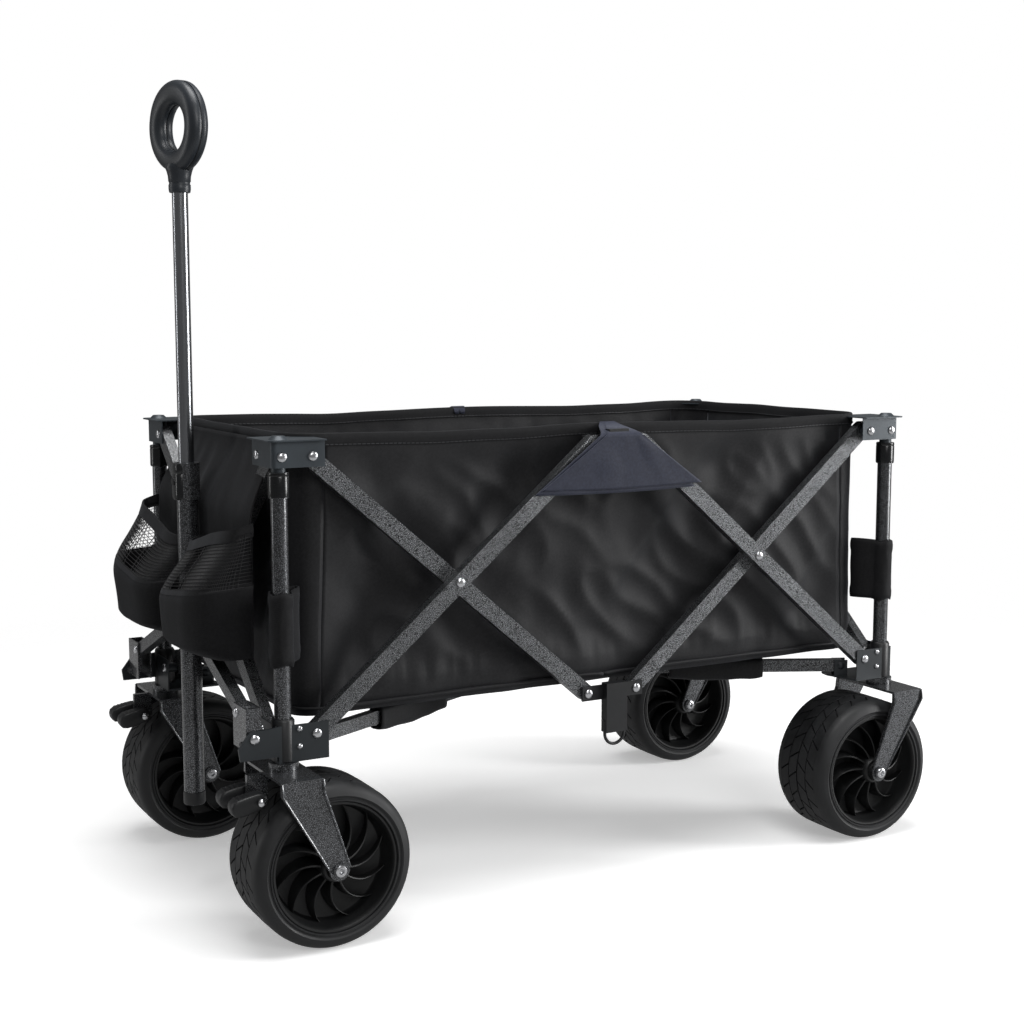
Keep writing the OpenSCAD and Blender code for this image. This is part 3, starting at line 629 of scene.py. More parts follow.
def make_tub(sizes):
    """Walls with their bound rims and stitching, and the floor in four hinged quarters."""
    folds = sizes.fold_depth
    widen = (CORNER_R_TOP - CORNER_R_LOW) / 2           # what a flat wall gains halfway down, at each end
    for name, body, point, columns, length, packs in wall_parts():

        def hung(u, v, point=point):
            return point(u, WALL_LOW + (rim_height(point, u) - WALL_LOW) * v, folds)

        wall = Shape().skin(grid(columns, WALL_ROWS, hung), round_ring=False)
        wall = wall.piece(name + "_wall", "cloth", body, "cloth", 60, WALL_T * MM)
        edge = edge_tape(name + "_rim_tape", body, point, columns, folds)
        seam = stitches(name + "_rim_stitches", body, point, length, folds)
        if name in STANDS_FOR:
            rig.replaces(wall, STANDS_FOR[name])
        wide = length + 2 * widen if packs else length - widen * math.pi / 2
        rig.sheet(wall, flat=(wide * MM, (RIM_Z - WALL_LOW) * MM), held="stretched",
                 rests_on=["front_left_upper_bracket", "rear_left_upper_bracket"], with_pieces=[edge, seam])
        if packs:
            for piece in (wall, edge, seam):
                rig.squash(piece, "frame_fold", **packs)
    make_floor()


def edge_tape(name, body, point, columns, folds):
    """Binding tape folded over the rim."""
    half = 2.1
    section = [(-half, -TAPE_DEEP), (-half - 0.3, -TAPE_DEEP / 2), (-half, -1.2), (-half / 2, 0.0),
               (half / 2, 0.0), (half, -1.2), (half + 0.3, -TAPE_DEEP / 2), (half, -TAPE_DEEP)]
    rings = []
    for i in range(columns):
        u = i / (columns - 1)
        top = rim_height(point, u) + 1.4
        rings.append([point(u, top + dz, folds, more) for more, dz in section])
    return Shape().skin(rings).piece(name, "tape", body, "cloth", 50)


def stitches(name, body, point, length, folds):
    """A run of thread stitches along the tape's lower edge, on both faces."""
    shape = Shape()
    count = max(4, int(length / STITCH_PITCH))
    for face in (-2.9, 2.9):
        for i in range(count):
            ends = []
            for u in ((i + 0.15) / count, (i + 0.85) / count):
                z = rim_height(point, u) - 11.5
                ends.append([point(u, z + dz, folds, face + dy)
                             for dy, dz in ((-0.5, -0.5), (-0.5, 0.5), (0.5, 0.5), (0.5, -0.5))])
            shape.skin(ends)
    return shape.piece(name, "thread", body, "cloth")


def make_floor():
    """The floor's four quarters, each a thick sheet on its corner's folding arm, their edges along the middle sunk a
    little.
    """
    length, width = HALF_X - 1.5, HALF_Y - 1.5
    for c, (sx, sy) in CORNERS.items():

        def point(u, v, sx=sx, sy=sy):
            reach = length
            if v * width > width - CORNER_R_LOW:
                over = v * width - (width - CORNER_R_LOW)
                reach = length - CORNER_R_LOW + math.sqrt(max(0, CORNER_R_LOW ** 2 - over ** 2))
            x, y = CENTRE_X + sx * u * reach, sy * v * width
            dent = 1.6 * noise.noise(Vector((x / 90, y / 90, 1)))
            dent = dent - 1.5 * eased(1 - v * 9) - 1.5 * eased(1 - u * 16)
            return Vector((x, y, FLOOR_Z + 4.5 + dent)) * MM

        quarter = Shape().skin(grid(60, 34, point), round_ring=False)
        quarter = quarter.piece(c + "_floor_cloth", "cloth", c + "_floor_arm", "cloth", 60, 3.2 * MM)
        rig.replaces(quarter, "floor_mat")
        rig.sheet(quarter, flat=(length * MM, width * MM), held="stretched", rests_on=[c + "_floor_arm"])
        hinge = JOINTS[c + "_floor_arm_pivot"]
        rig.squash(quarter, "frame_fold", axis=tuple(hinge["axis"]), anchor=tuple(hinge["pos_m"]), keep=0.12)


# ---- hub flaps ----


def make_flaps(sizes):
    """Cloth flaps that hang from the rim over the two top hubs, the upper one over a smaller lining."""
    half = sizes.flap_width / 2
    turned_in = 0.12                                    # share of a flap that is turned over the rim
    for side, sy in SIDES.items():
        for layer, shift, drop, gap in (("flap", 0.0, 0.0, 0.0), ("flap_lining", -9.0, -5.0, -1.6)):
            low = TOP_Z - 54 + drop
            out = POST_Y + OUTER_LANE + 4.2 + gap

            def point(u, v, sy=sy, shift=shift, low=low, out=out):
                side_at = 2 * u - 1
                if v < turned_in:
                    t = v / turned_in
                    a = math.pi * t
                    y = HALF_Y - 1.2 - 3.4 * math.cos(a)
                    z = RIM_Z + 2 + 3.6 * math.sin(a) - 10 * (1 - t)
                    wide = 3.5 + 2.5 * t
                else:
                    t = (v - turned_in) / (1 - turned_in)
                    z = RIM_Z + 2 + (low - RIM_Z - 2) * t
                    y = HALF_Y + 2.2 + (out - HALF_Y - 2.2) * eased(t * 5.5)
                    wide = 6 + (half - 6) * t
                wave = 1.6 * noise.noise(Vector((side_at * 2.1, v * 2.5, 5 * sy + shift)))
                z -= 5 * (1 - side_at ** 2) * max(0.0, v - 0.55)
                x = CENTRE_X + 5 + shift + side_at * wide
                return Vector((x, sy * (y + max(wave, 0) * eased((v - 0.2) * 4)), z)) * MM

            cloth = Shape().skin(grid(46, 40, point), round_ring=False)
            cloth = cloth.piece(f"{side}_{layer}", "flap", side + "_top_hub", "cloth", 70, 1.5 * MM)
            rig.sheet(cloth, flat=(2 * half * MM, 0.11), held="hung", rests_on=[side + "_side_wall"],
                     area=half * 0.105 * MM * 1.12)
            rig.squash(cloth, "frame_fold", axis=(1, 0, 0), anchor=(CENTRE_X * MM, 0, 0), keep=0.42)


# ---- cloth sleeves ----


def make_post_sleeve(c):
    """A hook-and-loop sleeve round a post, with a tail that ties it to the tub's corner."""
    low, high = LOW_Z + 79, LOW_Z + 160
    sx, _ = CORNERS[c]
    rings = []
    for j in range(15):
        z = low + (high - low) * j / 14
        hem = 0.9 if j in (1, 2, 12, 13) else 0
        ring = []
        for a in round_turn(48):
            tail = max(0.0, math.cos(a - math.pi / 4)) ** 14
            rumple = noise.noise(Vector((math.cos(a) * 2, math.sin(a) * 2, z / 18 + sx)))
            r = 12.2 + 29 * tail + 0.9 * rumple + hem
            ring.append(at(c, r * math.cos(a), r * math.sin(a), z + 1.5 * math.sin(3 * a)))
        rings.append(ring)
    sleeve = Shape().skin(rings, capped=False)
    sleeve = sleeve.piece(c + "_post_sleeve", "tape", c + "_base", "cloth", 60, 1.6 * MM)
    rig.sheet(sleeve, flat=(0.115, (high - low) * MM), held="folded", rests_on=[c + "_post"])


def make_arm_sleeve(c):
    """A loose cloth sleeve round a floor arm, sagging below it."""
    sx, sy = CORNERS[c]
    start, length = 108, 128                            # along the arm from its pivot
    pivot = Vector(JOINTS[c + "_floor_arm_pivot"]["pos_m"])
    along = (Vector((CENTRE_X * MM, 0, pivot.z)) - pivot).normalized()
    side = Vector((-along.y, along.x, 0))
    rings = []
    for j in range(24):
        t = j / 23
        flare = 1 + 0.16 * math.sin(9 * t + sx) * t
        sag = 3.5 * math.sin(math.pi * t) + 2 * noise.noise(Vector((t * 5, sx, sy)))
        ring = []
        for a in round_turn(28):
            w = 9.5 * squared(math.cos(a), 0.55) * flare
            h = 11.0 * squared(math.sin(a), 0.55) - ((sag + 4) if math.sin(a) < 0 else 0)
            ring.append(pivot + along * (start + length * t) * MM + side * w * MM + Vector((0, 0, h * MM)))
        rings.append(ring)
    wrap = Shape().skin(rings, capped=False)
    wrap = wrap.piece(c + "_arm_sleeve", "cloth", c + "_floor_arm", "cloth", 60, 1.4 * MM)
    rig.sheet(wrap, flat=(0.086, 0.13), held="folded", rests_on=[c + "_floor_arm"])


# ---- pockets ----


APRON_LOW = LOW_Z + 82                                  # lower edge of the cloth behind the pockets
POUCH_LOW, MOUTH_Z = LOW_Z + 74, LOW_Z + 199            # a pocket's bottom and the front of its mouth
POCKET_BACK = POST["front_left"].x - 15                 # the pockets' flat backs
POCKET_REACH = POCKET_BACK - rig.box("front_panel")[0].x / MM
POCKET_BODY = "front_left_upper"
NET_FROM = 0.56                                         # share of a pocket's height that is solid cloth


def pack_pocket(piece, keep):
    """Folds a piece of the pockets towards the front left post."""
    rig.squash(piece, "frame_fold", axis=(0, 1, 0), anchor=tuple(at("front_left", 0, 36, 0)), keep=keep)


def make_apron():
    """The cloth that hangs from the front rim, over the end scissor, and carries both pockets."""

    def point(u, v):
        y = (2 * u - 1) * (170 - 14 * eased((v - 0.55) * 2.2))
        z = APRON_LOW + (RIM_Z - 8 - APRON_LOW) * v
        forward = -1.2 + 33 * eased((v - 0.62) / 0.38)
        crease = 3.0 * noise.noise(Vector((y / 28, z / 90, 8))) * eased((v - 0.4) * 3) * eased((1 - v) * 8)
        nap = 0.6 * noise.noise(Vector((y / 30, z / 30, 2)))
        return Vector((POCKET_BACK + forward + crease + nap, y, z)) * MM

    apron = Shape().skin(grid(96, 48, point), round_ring=False)
    apron = apron.piece("front_pocket_apron", "pocket", POCKET_BODY, "cloth", 60, 1.4 * MM)
    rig.sheet(apron, flat=(0.33, 0.255), held="hung", rests_on=["front_end_wall"])
    pack_pocket(apron, 0.3)


def pocket_depth(v):
    """How far a pocket stands out, from its bottom to its mouth."""
    if v < 0.12:
        return POCKET_REACH * (0.45 + 0.47 * math.sin(v / 0.12 * math.pi / 2))
    return POCKET_REACH * (0.92 + 0.05 * math.sin((v - 0.12) * 4) - 0.56 * eased((v - 0.46) / 0.6))


def make_pocket(side):
    """A bottle pocket: a sagging cloth pouch with a netted upper half and a bound mouth."""
    sy = SIDES[side]
    inner, outer = 15.0, 172.0 if side == "left" else 180.0
    mid, half = (inner + outer) / 2, (outer - inner) / 2
    bend = 4.6                                          # 2 would be an ellipse in plan; more is squarer

    def point(u, v, more=0.0):
        a = math.pi * u
        across, forward = squared(math.cos(a), 2 / bend), abs(math.sin(a)) ** (2 / bend)
        y = mid - half * (1 - 0.05 * (1 - v)) * across
        mouth = MOUTH_Z + 28 * eased(abs(y) / outer) - 8 * forward
        base = POUCH_LOW + 5 * across ** 2
        z = base + (mouth - base) * v
        crumple = 2.2 * noise.noise(Vector((y / 34 * sy, z / 30, 3 + sy))) * eased(v * 6)
        out = (pocket_depth(v) + 5.0) * forward + crumple * forward * 0.8 - 0.6 + more
        return Vector((POCKET_BACK - out, sy * y, z)) * MM

    def drawn_in(share_x, share_y, lift):
        """The bottom's edge drawn towards the middle of the pocket's back."""
        x0, y0 = POCKET_BACK * MM, sy * mid * MM
        return [Vector((x0 + (p.x - x0) * share_x, y0 + (p.y - y0) * share_y, p.z + lift * MM))
                for p in bottom]

    def strip(name, v, section):
        """A bound strip round the pocket at a height, its section given as (up, out)."""
        rings = [[point(i / 63, v + dv, more) for dv, more in section] for i in range(64)]
        return Shape().skin(rings).piece(f"{side}_pocket_{name}", "tape", POCKET_BODY, "cloth", 50)

    bag = Shape().skin(grid(64, 26, lambda u, v: point(u, v * NET_FROM)), round_ring=False)
    bottom = [point(i / 63, 0.0) for i in range(64)]
    bag.skin([bottom, drawn_in(0.5, 0.6, 1.5), drawn_in(0.05, 0.2, 2.5)], round_ring=False)
    bag = bag.piece(side + "_pocket_pouch", "pocket", POCKET_BODY, "cloth", 70, 1.4 * MM)
    net = grid(72, 16, lambda u, v: point(u, NET_FROM + v * (0.97 - NET_FROM)))
    net = Shape().skin(net, round_ring=False)
    net = net.piece(side + "_pocket_net", "net", POCKET_BODY, "cloth")
    wire = net.modifiers.new("threads", "WIREFRAME")
    wire.thickness = 1.1 * MM
    wire.use_even_offset = False
    hem = strip("hem", 0.985, ((-0.05, 1.1), (0.0, 1.7), (0.05, 1.1),
                               (0.05, -1.1), (0.0, -1.7), (-0.05, -1.1)))
    band = strip("band", NET_FROM, ((-0.022, 1.0), (0.022, 1.0), (0.022, -1.0), (-0.022, -1.0)))
    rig.sheet(bag, flat=(0.29, 0.1), held="hung", rests_on=["front_pocket_apron"],
             with_pieces=[net, hem, band])
    for piece in (bag, net, hem, band):
        pack_pocket(piece, 0.1)


# ---- grip, collar and bushings ----


GRIP_R = 39.5                                           # middle line of the ring
GRIP_DEEP, GRIP_THICK = 14.0, 12.2                      # half its section, outwards and front to back


def make_grip(sizes):
    """The ring grip: two moulded half shells that meet in a stepped groove, and a neck."""
    low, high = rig.box("grip")
    neck_low, mid_z = low.z / MM, high.z / MM - GRIP_R - GRIP_DEEP
    axis = Matrix.Translation((HANDLE_X * MM, 0, 0))
    turned = axis @ Matrix.Rotation(math.radians(sizes.grip_turn), 4, "Z") @ axis.inverted()
    spokes = [Vector((0, math.cos(a), math.sin(a))) for a in round_turn(112)]
    for shell, facing, step in (("front", -1, 0.955), ("back", 1, 1.0)):
        rings = []
        for out in spokes:
            swell = 1 + 0.07 * eased((out.z - 0.2) * 2) - 0.05 * eased(-out.z)
            ring = []
            for k in range(21):
                b = math.pi * k / 20
                lip = 0.94 if k in (0, 20) else 1.0
                along = squared(math.cos(b), 0.86) * lip * step
                deep = max(0.0, math.sin(b)) ** 0.86
                reach = min(GRIP_R + GRIP_DEEP, GRIP_R + GRIP_DEEP * swell * along)
                ring.append(Vector((HANDLE_X + facing * (0.4 + GRIP_THICK * deep), 0, mid_z)) + out * reach)
            rings.append([turned @ (p * MM) for p in ring])
        half = Shape().skin(rings, round_path=True)
        half = half.piece(f"grip_{shell}_shell", "grip", "pole_slide", "grip", 50)
        if shell == "front":
            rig.replaces(half, "grip")
    inside = GRIP_DEEP - 1.4
    section = ((inside, -0.6), (inside, 0.6), (-inside, 0.6), (-inside, -0.6))
    rings = [[turned @ ((Vector((HANDLE_X + dx, 0, mid_z)) + out * (GRIP_R + dr)) * MM) for dr, dx in section]
             for out in spokes]
    Shape().skin(rings, round_path=True).piece("grip_parting_line", "plastic", "pole_slide", "grip")
    neck = [(11.3, 0), (12.3, 0.6), (12.9, 4), (12.9, 9), (12.2, 10), (12.2, 12), (13.0, 13), (13.4, 19),
            (14.6, 24), (16.4, 29), (15, 33)]
    neck = [(r, neck_low + z) for r, z in neck]
    Shape().lathe(neck, axis @ Matrix.Scale(MM, 4)).piece("grip_neck", "grip", "pole_slide", "grip", 40)


def make_collar():
    """The squared block on top of the pole's lower tube, with its button."""
    low = LOW_Z + 244
    rings = []
    for z, grow in ((2.0, -3.5), (0.4, -1.4), (1.4, -0.3), (4, 0), (30, 0), (31.5, -0.6), (33, 0), (40, 0),
                    (43.2, -0.6), (44, -2.2), (43.6, -3.6)):
        rings.append([Vector((HANDLE_X - 3.0 + squared(math.cos(a), 0.6) * (13.4 + grow),
                              squared(math.sin(a), 0.6) * (12.9 + grow), low + z)) * MM
                      for a in round_turn(56)])
    Shape().skin(rings).piece("pole_collar", "gloss", "pole", "black_plastic", 40)
    button = Shape().lathe([(0.2, 2.4), (3.8, 2.2), (4.6, 1.2), (4.8, -3)],
                           towards(Vector((HANDLE_X - 16.0, 0, low + 22)) * MM, (-1, 0, 0)), 24)
    button.piece("pole_button", "plastic", "pole", "black_plastic")


def make_foot():
    """The plug in the pole's lower end."""
    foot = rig.box("pole_outer")[0].z / MM
    plug = Shape().lathe([(12.6, foot + 16), (13.4, foot + 15.2), (13.4, foot + 1.4), (12.4, foot + 0.1),
                          (6, foot + 0.1), (0.3, foot + 0.4)], upright((HANDLE_X * MM, 0, 0)))
    plug.piece("pole_foot", "plastic", "pole", "black_plastic", 40)


def make_post_fittings(c):
    """The socket that a post stands in, and the glossy bushing that its upper tube slides through."""
    low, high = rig.box(c + "_lower_bracket")[0].z / MM, LOW_Z + 19
    socket_r = EAR_OUT + 1.4
    socket = [(8.4, low + 0.5), (socket_r - 1, low + 0.3), (socket_r, low + 1.4), (socket_r, high - 2),
              (socket_r - 0.8, high - 0.6), (11.4, high + 0.4), (9.6, high + 0.4)]
    place = upright(at(c, 0, 0, 0))
    socket = Shape().lathe(socket, place, closed=True)
    socket.piece(c + "_post_socket", "plastic", c + "_base", "black_plastic", 40)
    low, high = TOP_Z - 45, TOP_Z - 17
    bush = [(8.4, low + 0.2), (10.8, low), (11.9, low + 1), (12.1, low + 3), (12.1, high - 5),
            (11.7, high - 4), (12.1, high - 3), (11.9, high - 0.6), (10.4, high + 0.2), (8.4, high)]
    bush = Shape().lathe(bush, place, closed=True)
    bush.piece(c + "_bushing", "gloss", c + "_base", "black_plastic", 40)


# ---- rivets and bolts ----


def make_rivets():
    """Domed zinc rivet heads over every visible pivot, gathered by the body they ride on."""
    heads = {}

    def head(body, corner, x, y, z, way, r=5.7):
        """way is side or end: the face of the corner that the head stands on."""
        sx, sy = CORNERS[corner]
        out = Vector((0, sy, 0)) if way == "side" else Vector((sx, 0, 0))
        heads.setdefault(body, []).append((at(corner, x, y, z), out, r))

    for c, (sx, sy) in CORNERS.items():
        for z, body in ((TOP_Z, c + "_upper"), (LOW_Z, c + "_base")):
            head(body, c, PIVOT_INSET, -EAR_OUT, z, "side")
            head(body, c, -EAR_OUT, PIVOT_INSET, z, "end")
        head(c + "_upper", c, 0, -EAR_OUT, TOP_Z, "side")
        head(c + "_base", c, 15, -EAR_OUT, LOW_Z - 12, "side", 3.4)
        head(c + "_base", c, 15, -EAR_OUT, LOW_Z + 8, "side", 3.4)
        head(c + "_side_low_bar", c, CROSS_IN, -OUTER_LANE, CROSS_Z, "side")
        if sy < 0:
            head(c + "_end_bar", c, -OUTER_LANE, CROSS_IN, CROSS_Z, "end")
        if sx < 0:
            head(c + "_base", c, -CHANNEL_OUT, -EAR_OUT, LOW_Z + 2, "side")
            head(c + "_channel", c, -CHANNEL_OUT - 9.0, 24, LOW_Z + 26, "end")
            body = "pole" if sy < 0 else c + "_yoke_arm"
            head(body, c, -CHANNEL_OUT - 6.6, POST_Y - 38, LOW_Z + 90, "end")
    for side in SIDES:
        for end in ("front", "rear"):
            head(side + "_bottom_hub", f"{end}_{side}", POST_X - HUB_HALF, 0.4, LOW_Z, "side")
    for body, found in heads.items():
        shape = Shape()
        for point, out, r in found:
            shape.lathe([(r, -0.2), (r, 0.5), (r * 0.93, 1.3), (r * 0.74, 2.1), (r * 0.42, 2.6),
                         (0.1, 2.75)], towards(point, out), 28)
        shape.piece(body + "_rivet_heads", "zinc", body, "hammered_silver", 50)


def fork_body(c):
    """The body that carries a corner's wheel: the front ones turn as casters."""
    return c + ("_caster" if CORNERS[c][0] < 0 else "_base")


def make_axle_nuts(c):
    """The washer, nut and hollow hexagon at each end of an axle."""
    axle = middle(c + "_rim")
    shape = Shape()
    for way in (-1, 1):
        place = towards(Vector((axle.x, axle.y + way * AXLE_HALF, axle.z)) * MM, (0, way, 0))
        shape.lathe([(8.2, -0.05), (8.2, 0.9), (7.8, 1.3), (6.8, 1.3)], place, 36)
        shape.lathe([(7.0, 1.2), (7.0, 3.2), (6.4, 4.4), (4.9, 5.0), (3.5, 5.0), (3.2, 3.0)], place, 36)
        shape.lathe([(3.4, 2.8), (3.0, 3.1), (0.2, 3.2)], place, 6)
    shape.piece(c + "_axle_nuts", "zinc", fork_body(c), "hammered_silver", 40)


# ---- wheels ----


SHOULDER = 33.0                                         # half the width of the tread
TREAD_COUNT = 22                                        # blocks in each row
BLOCK_ROWS, BLOCK_COLUMNS = 5, 3                        # points of one block, across and round the wheel


def tread_r(w):
    """The tread's radius at a distance across from the wheel's middle."""
    return WHEEL_R - 0.5 * (w / SHOULDER) ** 2


def tread_block(corners, depth):
    """A tread block between four (turn, across) corners, its top inset and its sides sloped."""
    bottom, top = [], []
    mid_a = sum(a for a, _ in corners) / 4
    mid_w = sum(w for _, w in corners) / 4
    for j in range(BLOCK_ROWS):
        t = j / (BLOCK_ROWS - 1)
        (a0, w0), (a1, w1) = [(p[0] * (1 - t) + q[0] * t, p[1] * (1 - t) + q[1] * t)
                              for p, q in ((corners[0], corners[3]), (corners[1], corners[2]))]
        for i in range(BLOCK_COLUMNS):
            s = i / (BLOCK_COLUMNS - 1)
            a, w = a0 + (a1 - a0) * s, w0 + (w1 - w0) * s
            bottom.append((a, w, tread_r(w) - depth - 0.6))
            edge_a, edge_w = mid_a + (a - mid_a) * 0.96, mid_w + (w - mid_w) * 0.96
            top.append((edge_a, edge_w, tread_r(edge_w)))
    points = [(r * math.cos(a), r * math.sin(a), w) for a, w, r in bottom + top]
    n, m = len(bottom), BLOCK_COLUMNS
    faces = []
    for j in range(BLOCK_ROWS - 1):
        for k in range(n + j * m, n + j * m + m - 1):
            faces.append([k, k + 1, k + m + 1, k + m])
    edge = list(range(m)) + [m * j + m - 1 for j in range(1, BLOCK_ROWS)]
    edge += list(range(n - 2, n - m - 1, -1)) + [m * j for j in range(BLOCK_ROWS - 2, 0, -1)]
    for a, b in zip(edge, edge[1:] + edge[:1]):
        faces.append([a, b, n + b, n + a])
    return points, faces


def make_tyre(c, sizes):
    """A foam tyre: a carcass with raised sidewall beads and four staggered rows of slanted blocks."""
    depth = sizes.tread_depth / MM
    edge = TYRE_HALF
    crown = [(tread_r(w) - depth, w) for w in (0, 8, 16, 24, SHOULDER - 0.8)]
    side = [(tread_r(SHOULDER), SHOULDER), (WHEEL_R - 1.3, 39), (WHEEL_R - 3.2, 42.8), (WHEEL_R - 6.2, 45.8),
            (WHEEL_R - 9.6, 47.6)]
    beads = [(83.2, edge - 0.7), (81.8, edge - 0.1), (80.4, edge - 0.7), (79.4, edge - 2.0),
             (77.8, edge - 2.1), (77.0, edge - 0.9), (75.8, edge - 0.8), (75.0, edge - 2), (74.8, edge - 4)]
    half = crown + side + beads
    place = on_wheel(c)
    shape = Shape().lathe([(r, -w) for r, w in half[::-1]] + half[1:], place, 96, closed=True)
    pitch = 2 * math.pi / TREAD_COUNT
    lean, wide = 0.0075, pitch * 0.94                   # turn for each mm across, and a block's own turn
    for k in range(TREAD_COUNT):
        for way in (-1, 1):
            shift = k * pitch + (pitch / 2 if way > 0 else 0)
            for near, far, start in ((0.9, 16.6, shift), (17.6, SHOULDER, shift + pitch * 0.3)):
                a, b = start + near * lean, start + far * lean
                block = [(a, way * near), (a + wide, way * near), (b + wide, way * far), (b, way * far)]
                shape.add(*tread_block(block, depth), place=place)
    tyre = shape.piece(c + "_treaded_tyre", "tyre", c + "_wheel", "tyre", 32)
    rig.replaces(tyre, c + "_tyre")


def make_rim(c, sizes):
    """A moulded rim: a dished barrel, a web with swept fan blades on both its faces and a stepped hub."""
    place = on_wheel(c)
    half = [(74.6, 30), (74.9, 45.6), (73.6, 46.6), (71.6, 46.4), (70.6, 45.0), (69.4, 40), (66.6, 23),
            (64.5, 20.4), (60, 19.4), (24, 17), (20, 18), (18.2, 24), (17.4, 40), (16.6, 46), (15.2, 48),
            (12.6, 48.4), (12.0, 47.6), (11.2, 52.0), (7.0, 52.4), (5.1, 52.4)]
    shape = Shape().lathe([(r, -w) for r, w in half[::-1]] + half, place, 96, closed=True)
    for way in (-1, 1):
        for start in round_turn(sizes.blade_count):
            start += 0.2 if way > 0 else 0
            rings = []
            for i in range(10):
                t = i / 9
                r = 16.5 + 52 * t
                a = start + way * 0.62 * t ** 1.5
                thick = (1.6 - 0.4 * t) / r
                low, high = 17 + 3.5 * t - 1, 43 - 15 * t ** 1.3
                lean = 0.1 * (1 - t) + 0.03
                section = ((-thick, low), (lean - thick * 0.7, high), (lean, high + 0.7),
                           (lean + thick * 0.7, high), (thick, low))
                rings.append([(r * math.cos(a + da), r * math.sin(a + da), way * w) for da, w in section])
            shape.skin(rings, place)
    rim = shape.piece(c + "_fan_rim", "rim", c + "_wheel", "rim", 38)
    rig.replaces(rim, c + "_rim")


# ---- forks, brakes and the frame's own parts ----


def make_fork_flange(c):
    """The pressed flanges that stiffen each fork arm along both its edges."""
    sx, _ = CORNERS[c]
    post, axle = POST[c], middle(c + "_rim")
    trail = (axle.x - post.x) * -sx
    leading = [(-24.0, FORK_TOP - 1), (-24.0, FORK_TOP - 14), (trail - 10.0, WHEEL_R - 2)]
    trailing = [(24.0, FORK_TOP - 1), (24.0, FORK_TOP - 14), (trail + 12.0, WHEEL_R + 3)]
    shape = Shape()
    for way in (-1, 1):
        for path in (leading, trailing):
            rings = []
            for i in range(25):
                leg = min(1, i // 12)
                t = i / 12 - leg
                (x0, z0), (x1, z1) = path[leg:leg + 2]
                x, z = x0 + (x1 - x0) * t, z0 + (z1 - z0) * t
                swell = 2.0 * math.sin(math.pi * i / 24) + 0.6
                section = ((-1.3, -1.0), (-1.3, 1.4 + swell), (0, 2.0 + swell), (1.3, 1.4 + swell),
                           (1.3, -1.0))
                rings.append([Vector((post.x - sx * (x + dx), post.y + way * (FORK_HALF + dy), z)) * MM
                              for dx, dy in section])
            shape.skin(rings)
    shape.piece(c + "_fork_flanges", "tube", fork_body(c), "hammered_charcoal", 45)


def make_brake(c):
    """A front caster's foot brake: two ribbed plastic lobes on one cross pin with domed heads."""
    pin = Vector(JOINTS[c + "_brake"]["pos_m"]) / MM
    mid_x, mid_z = -11.5, -3                            # middle of a lobe's outline, from the pin
    outline = [(8.6, -3), (8.0, 4.5), (3.5, 8.4), (-3.0, 9.0), (-14, 7.2), (-26, 4.6), (-31, 1.0),
               (-32.4, -4), (-31.6, -9), (-28.5, -13.6), (-22, -14.4), (-12, -12.6), (-2, -9.4), (4.5, -8.0)]
    rib = ((-1.3, -1.2), (-0.8, 0.55), (0.8, 0.45), (1.3, -1.3))
    shape = Shape()
    for lobe_y in (-20, 20):
        rings = []
        for w, scale in ((-9.2, 0.86), (-8.6, 0.95), (-7.2, 1.0), (7.2, 1.0), (8.6, 0.95), (9.2, 0.86)):
            rings.append([(pin + Vector((mid_x + (x - mid_x) * scale, lobe_y + w,
                                         mid_z + (z - mid_z) * scale))) * MM for x, z in outline])
        shape.skin(rings)
        for x, z in ((-10, 7.7), (-15, 6.9), (-20, 5.9), (-25, 4.7)):
            shape.skin([[(pin + Vector((x + dx, lobe_y + w, z + dz))) * MM for dx, dz in rib]
                        for w in (-7.2, 7.2)])
    shape.lathe([(4.0, -33), (4.4, -32.4), (4.4, 32.4), (4.0, 33)], towards(pin * MM, (0, 1, 0)), 24)
    lobes = shape.piece(c + "_brake_lobes", "plastic", c + "_brake", "black_plastic", 40)
    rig.replaces(lobes, c + "_brake_pedal")
    shape = Shape()
    for way in (-1, 1):
        shape.lathe([(4.6, 0), (4.6, 0.8), (3.6, 2.0), (0.2, 2.6)],
                    towards((pin + Vector((0, way * 33, 0))) * MM, (0, way, 0)), 24)
    shape.piece(c + "_brake_pin_heads", "zinc", c + "_brake", "black_plastic", 50)


def dress_frame():
    """Puts a finish on every CAD node that shows as it is."""
    by_slot = {"hammered_charcoal": "tube", "hammered_silver": "bar", "slate_sheet": "sheet",
               "black_plastic": "plastic", "tyre": "tyre", "rim": "rim", "grip": "grip", "cloth": "cloth"}
    slot_of = {s["node"]: s["material_slot"] for s in frame["record"]["subparts"]}
    for node, obj in frame["nodes"].items():
        finish = by_slot[slot_of[node]]
        if node == "pole_inner":
            finish = "chrome"
        elif node.endswith("lower_bracket"):
            # The darker copy of the satin coat: painted shade for the lower brackets under the tub.
            finish = "bracket"
        obj.data.materials.clear()
        obj.data.materials.append(FINISH[finish])


# ---- the stage ----


FLOOR_R = 2.0                                           # metres; the floor fades out before its edge
SOFT_BOXES = (                                          # name, place and size in metres, power in watts
    ("top_box", (-0.2, -0.3, 3.0), (1.8, 1.8), 70),
    ("right_strip", (2.7, -1.75, 1.1), (0.8, 2.2), 85),
    ("left_strip", (-2.7, 1.35, 1.1), (0.25, 2.2), 11),
    ("front_box", (-0.6, -3.6, 2.2), (1.6, 1.2), 34),
)


def add_to_scene(name, data):
    """Links an object for a mesh, a lamp or a camera."""
    made = bpy.data.objects.new(name, data)
    bpy.context.scene.collection.objects.link(made)
    return made


def make_camera():
    """A short telephoto view from the front left, at about the height of the pole's middle."""
    camera = add_to_scene("camera", bpy.data.cameras.new("camera"))
    camera.data.sensor_width = 36.0
    camera.data.lens = 56.07
    camera.location = (-1.0414, -1.8485, 0.6982)
    camera.rotation_euler = Euler((math.radians(90 - 6.89), 0, math.radians(-29.29)))
    bpy.context.scene.camera = camera


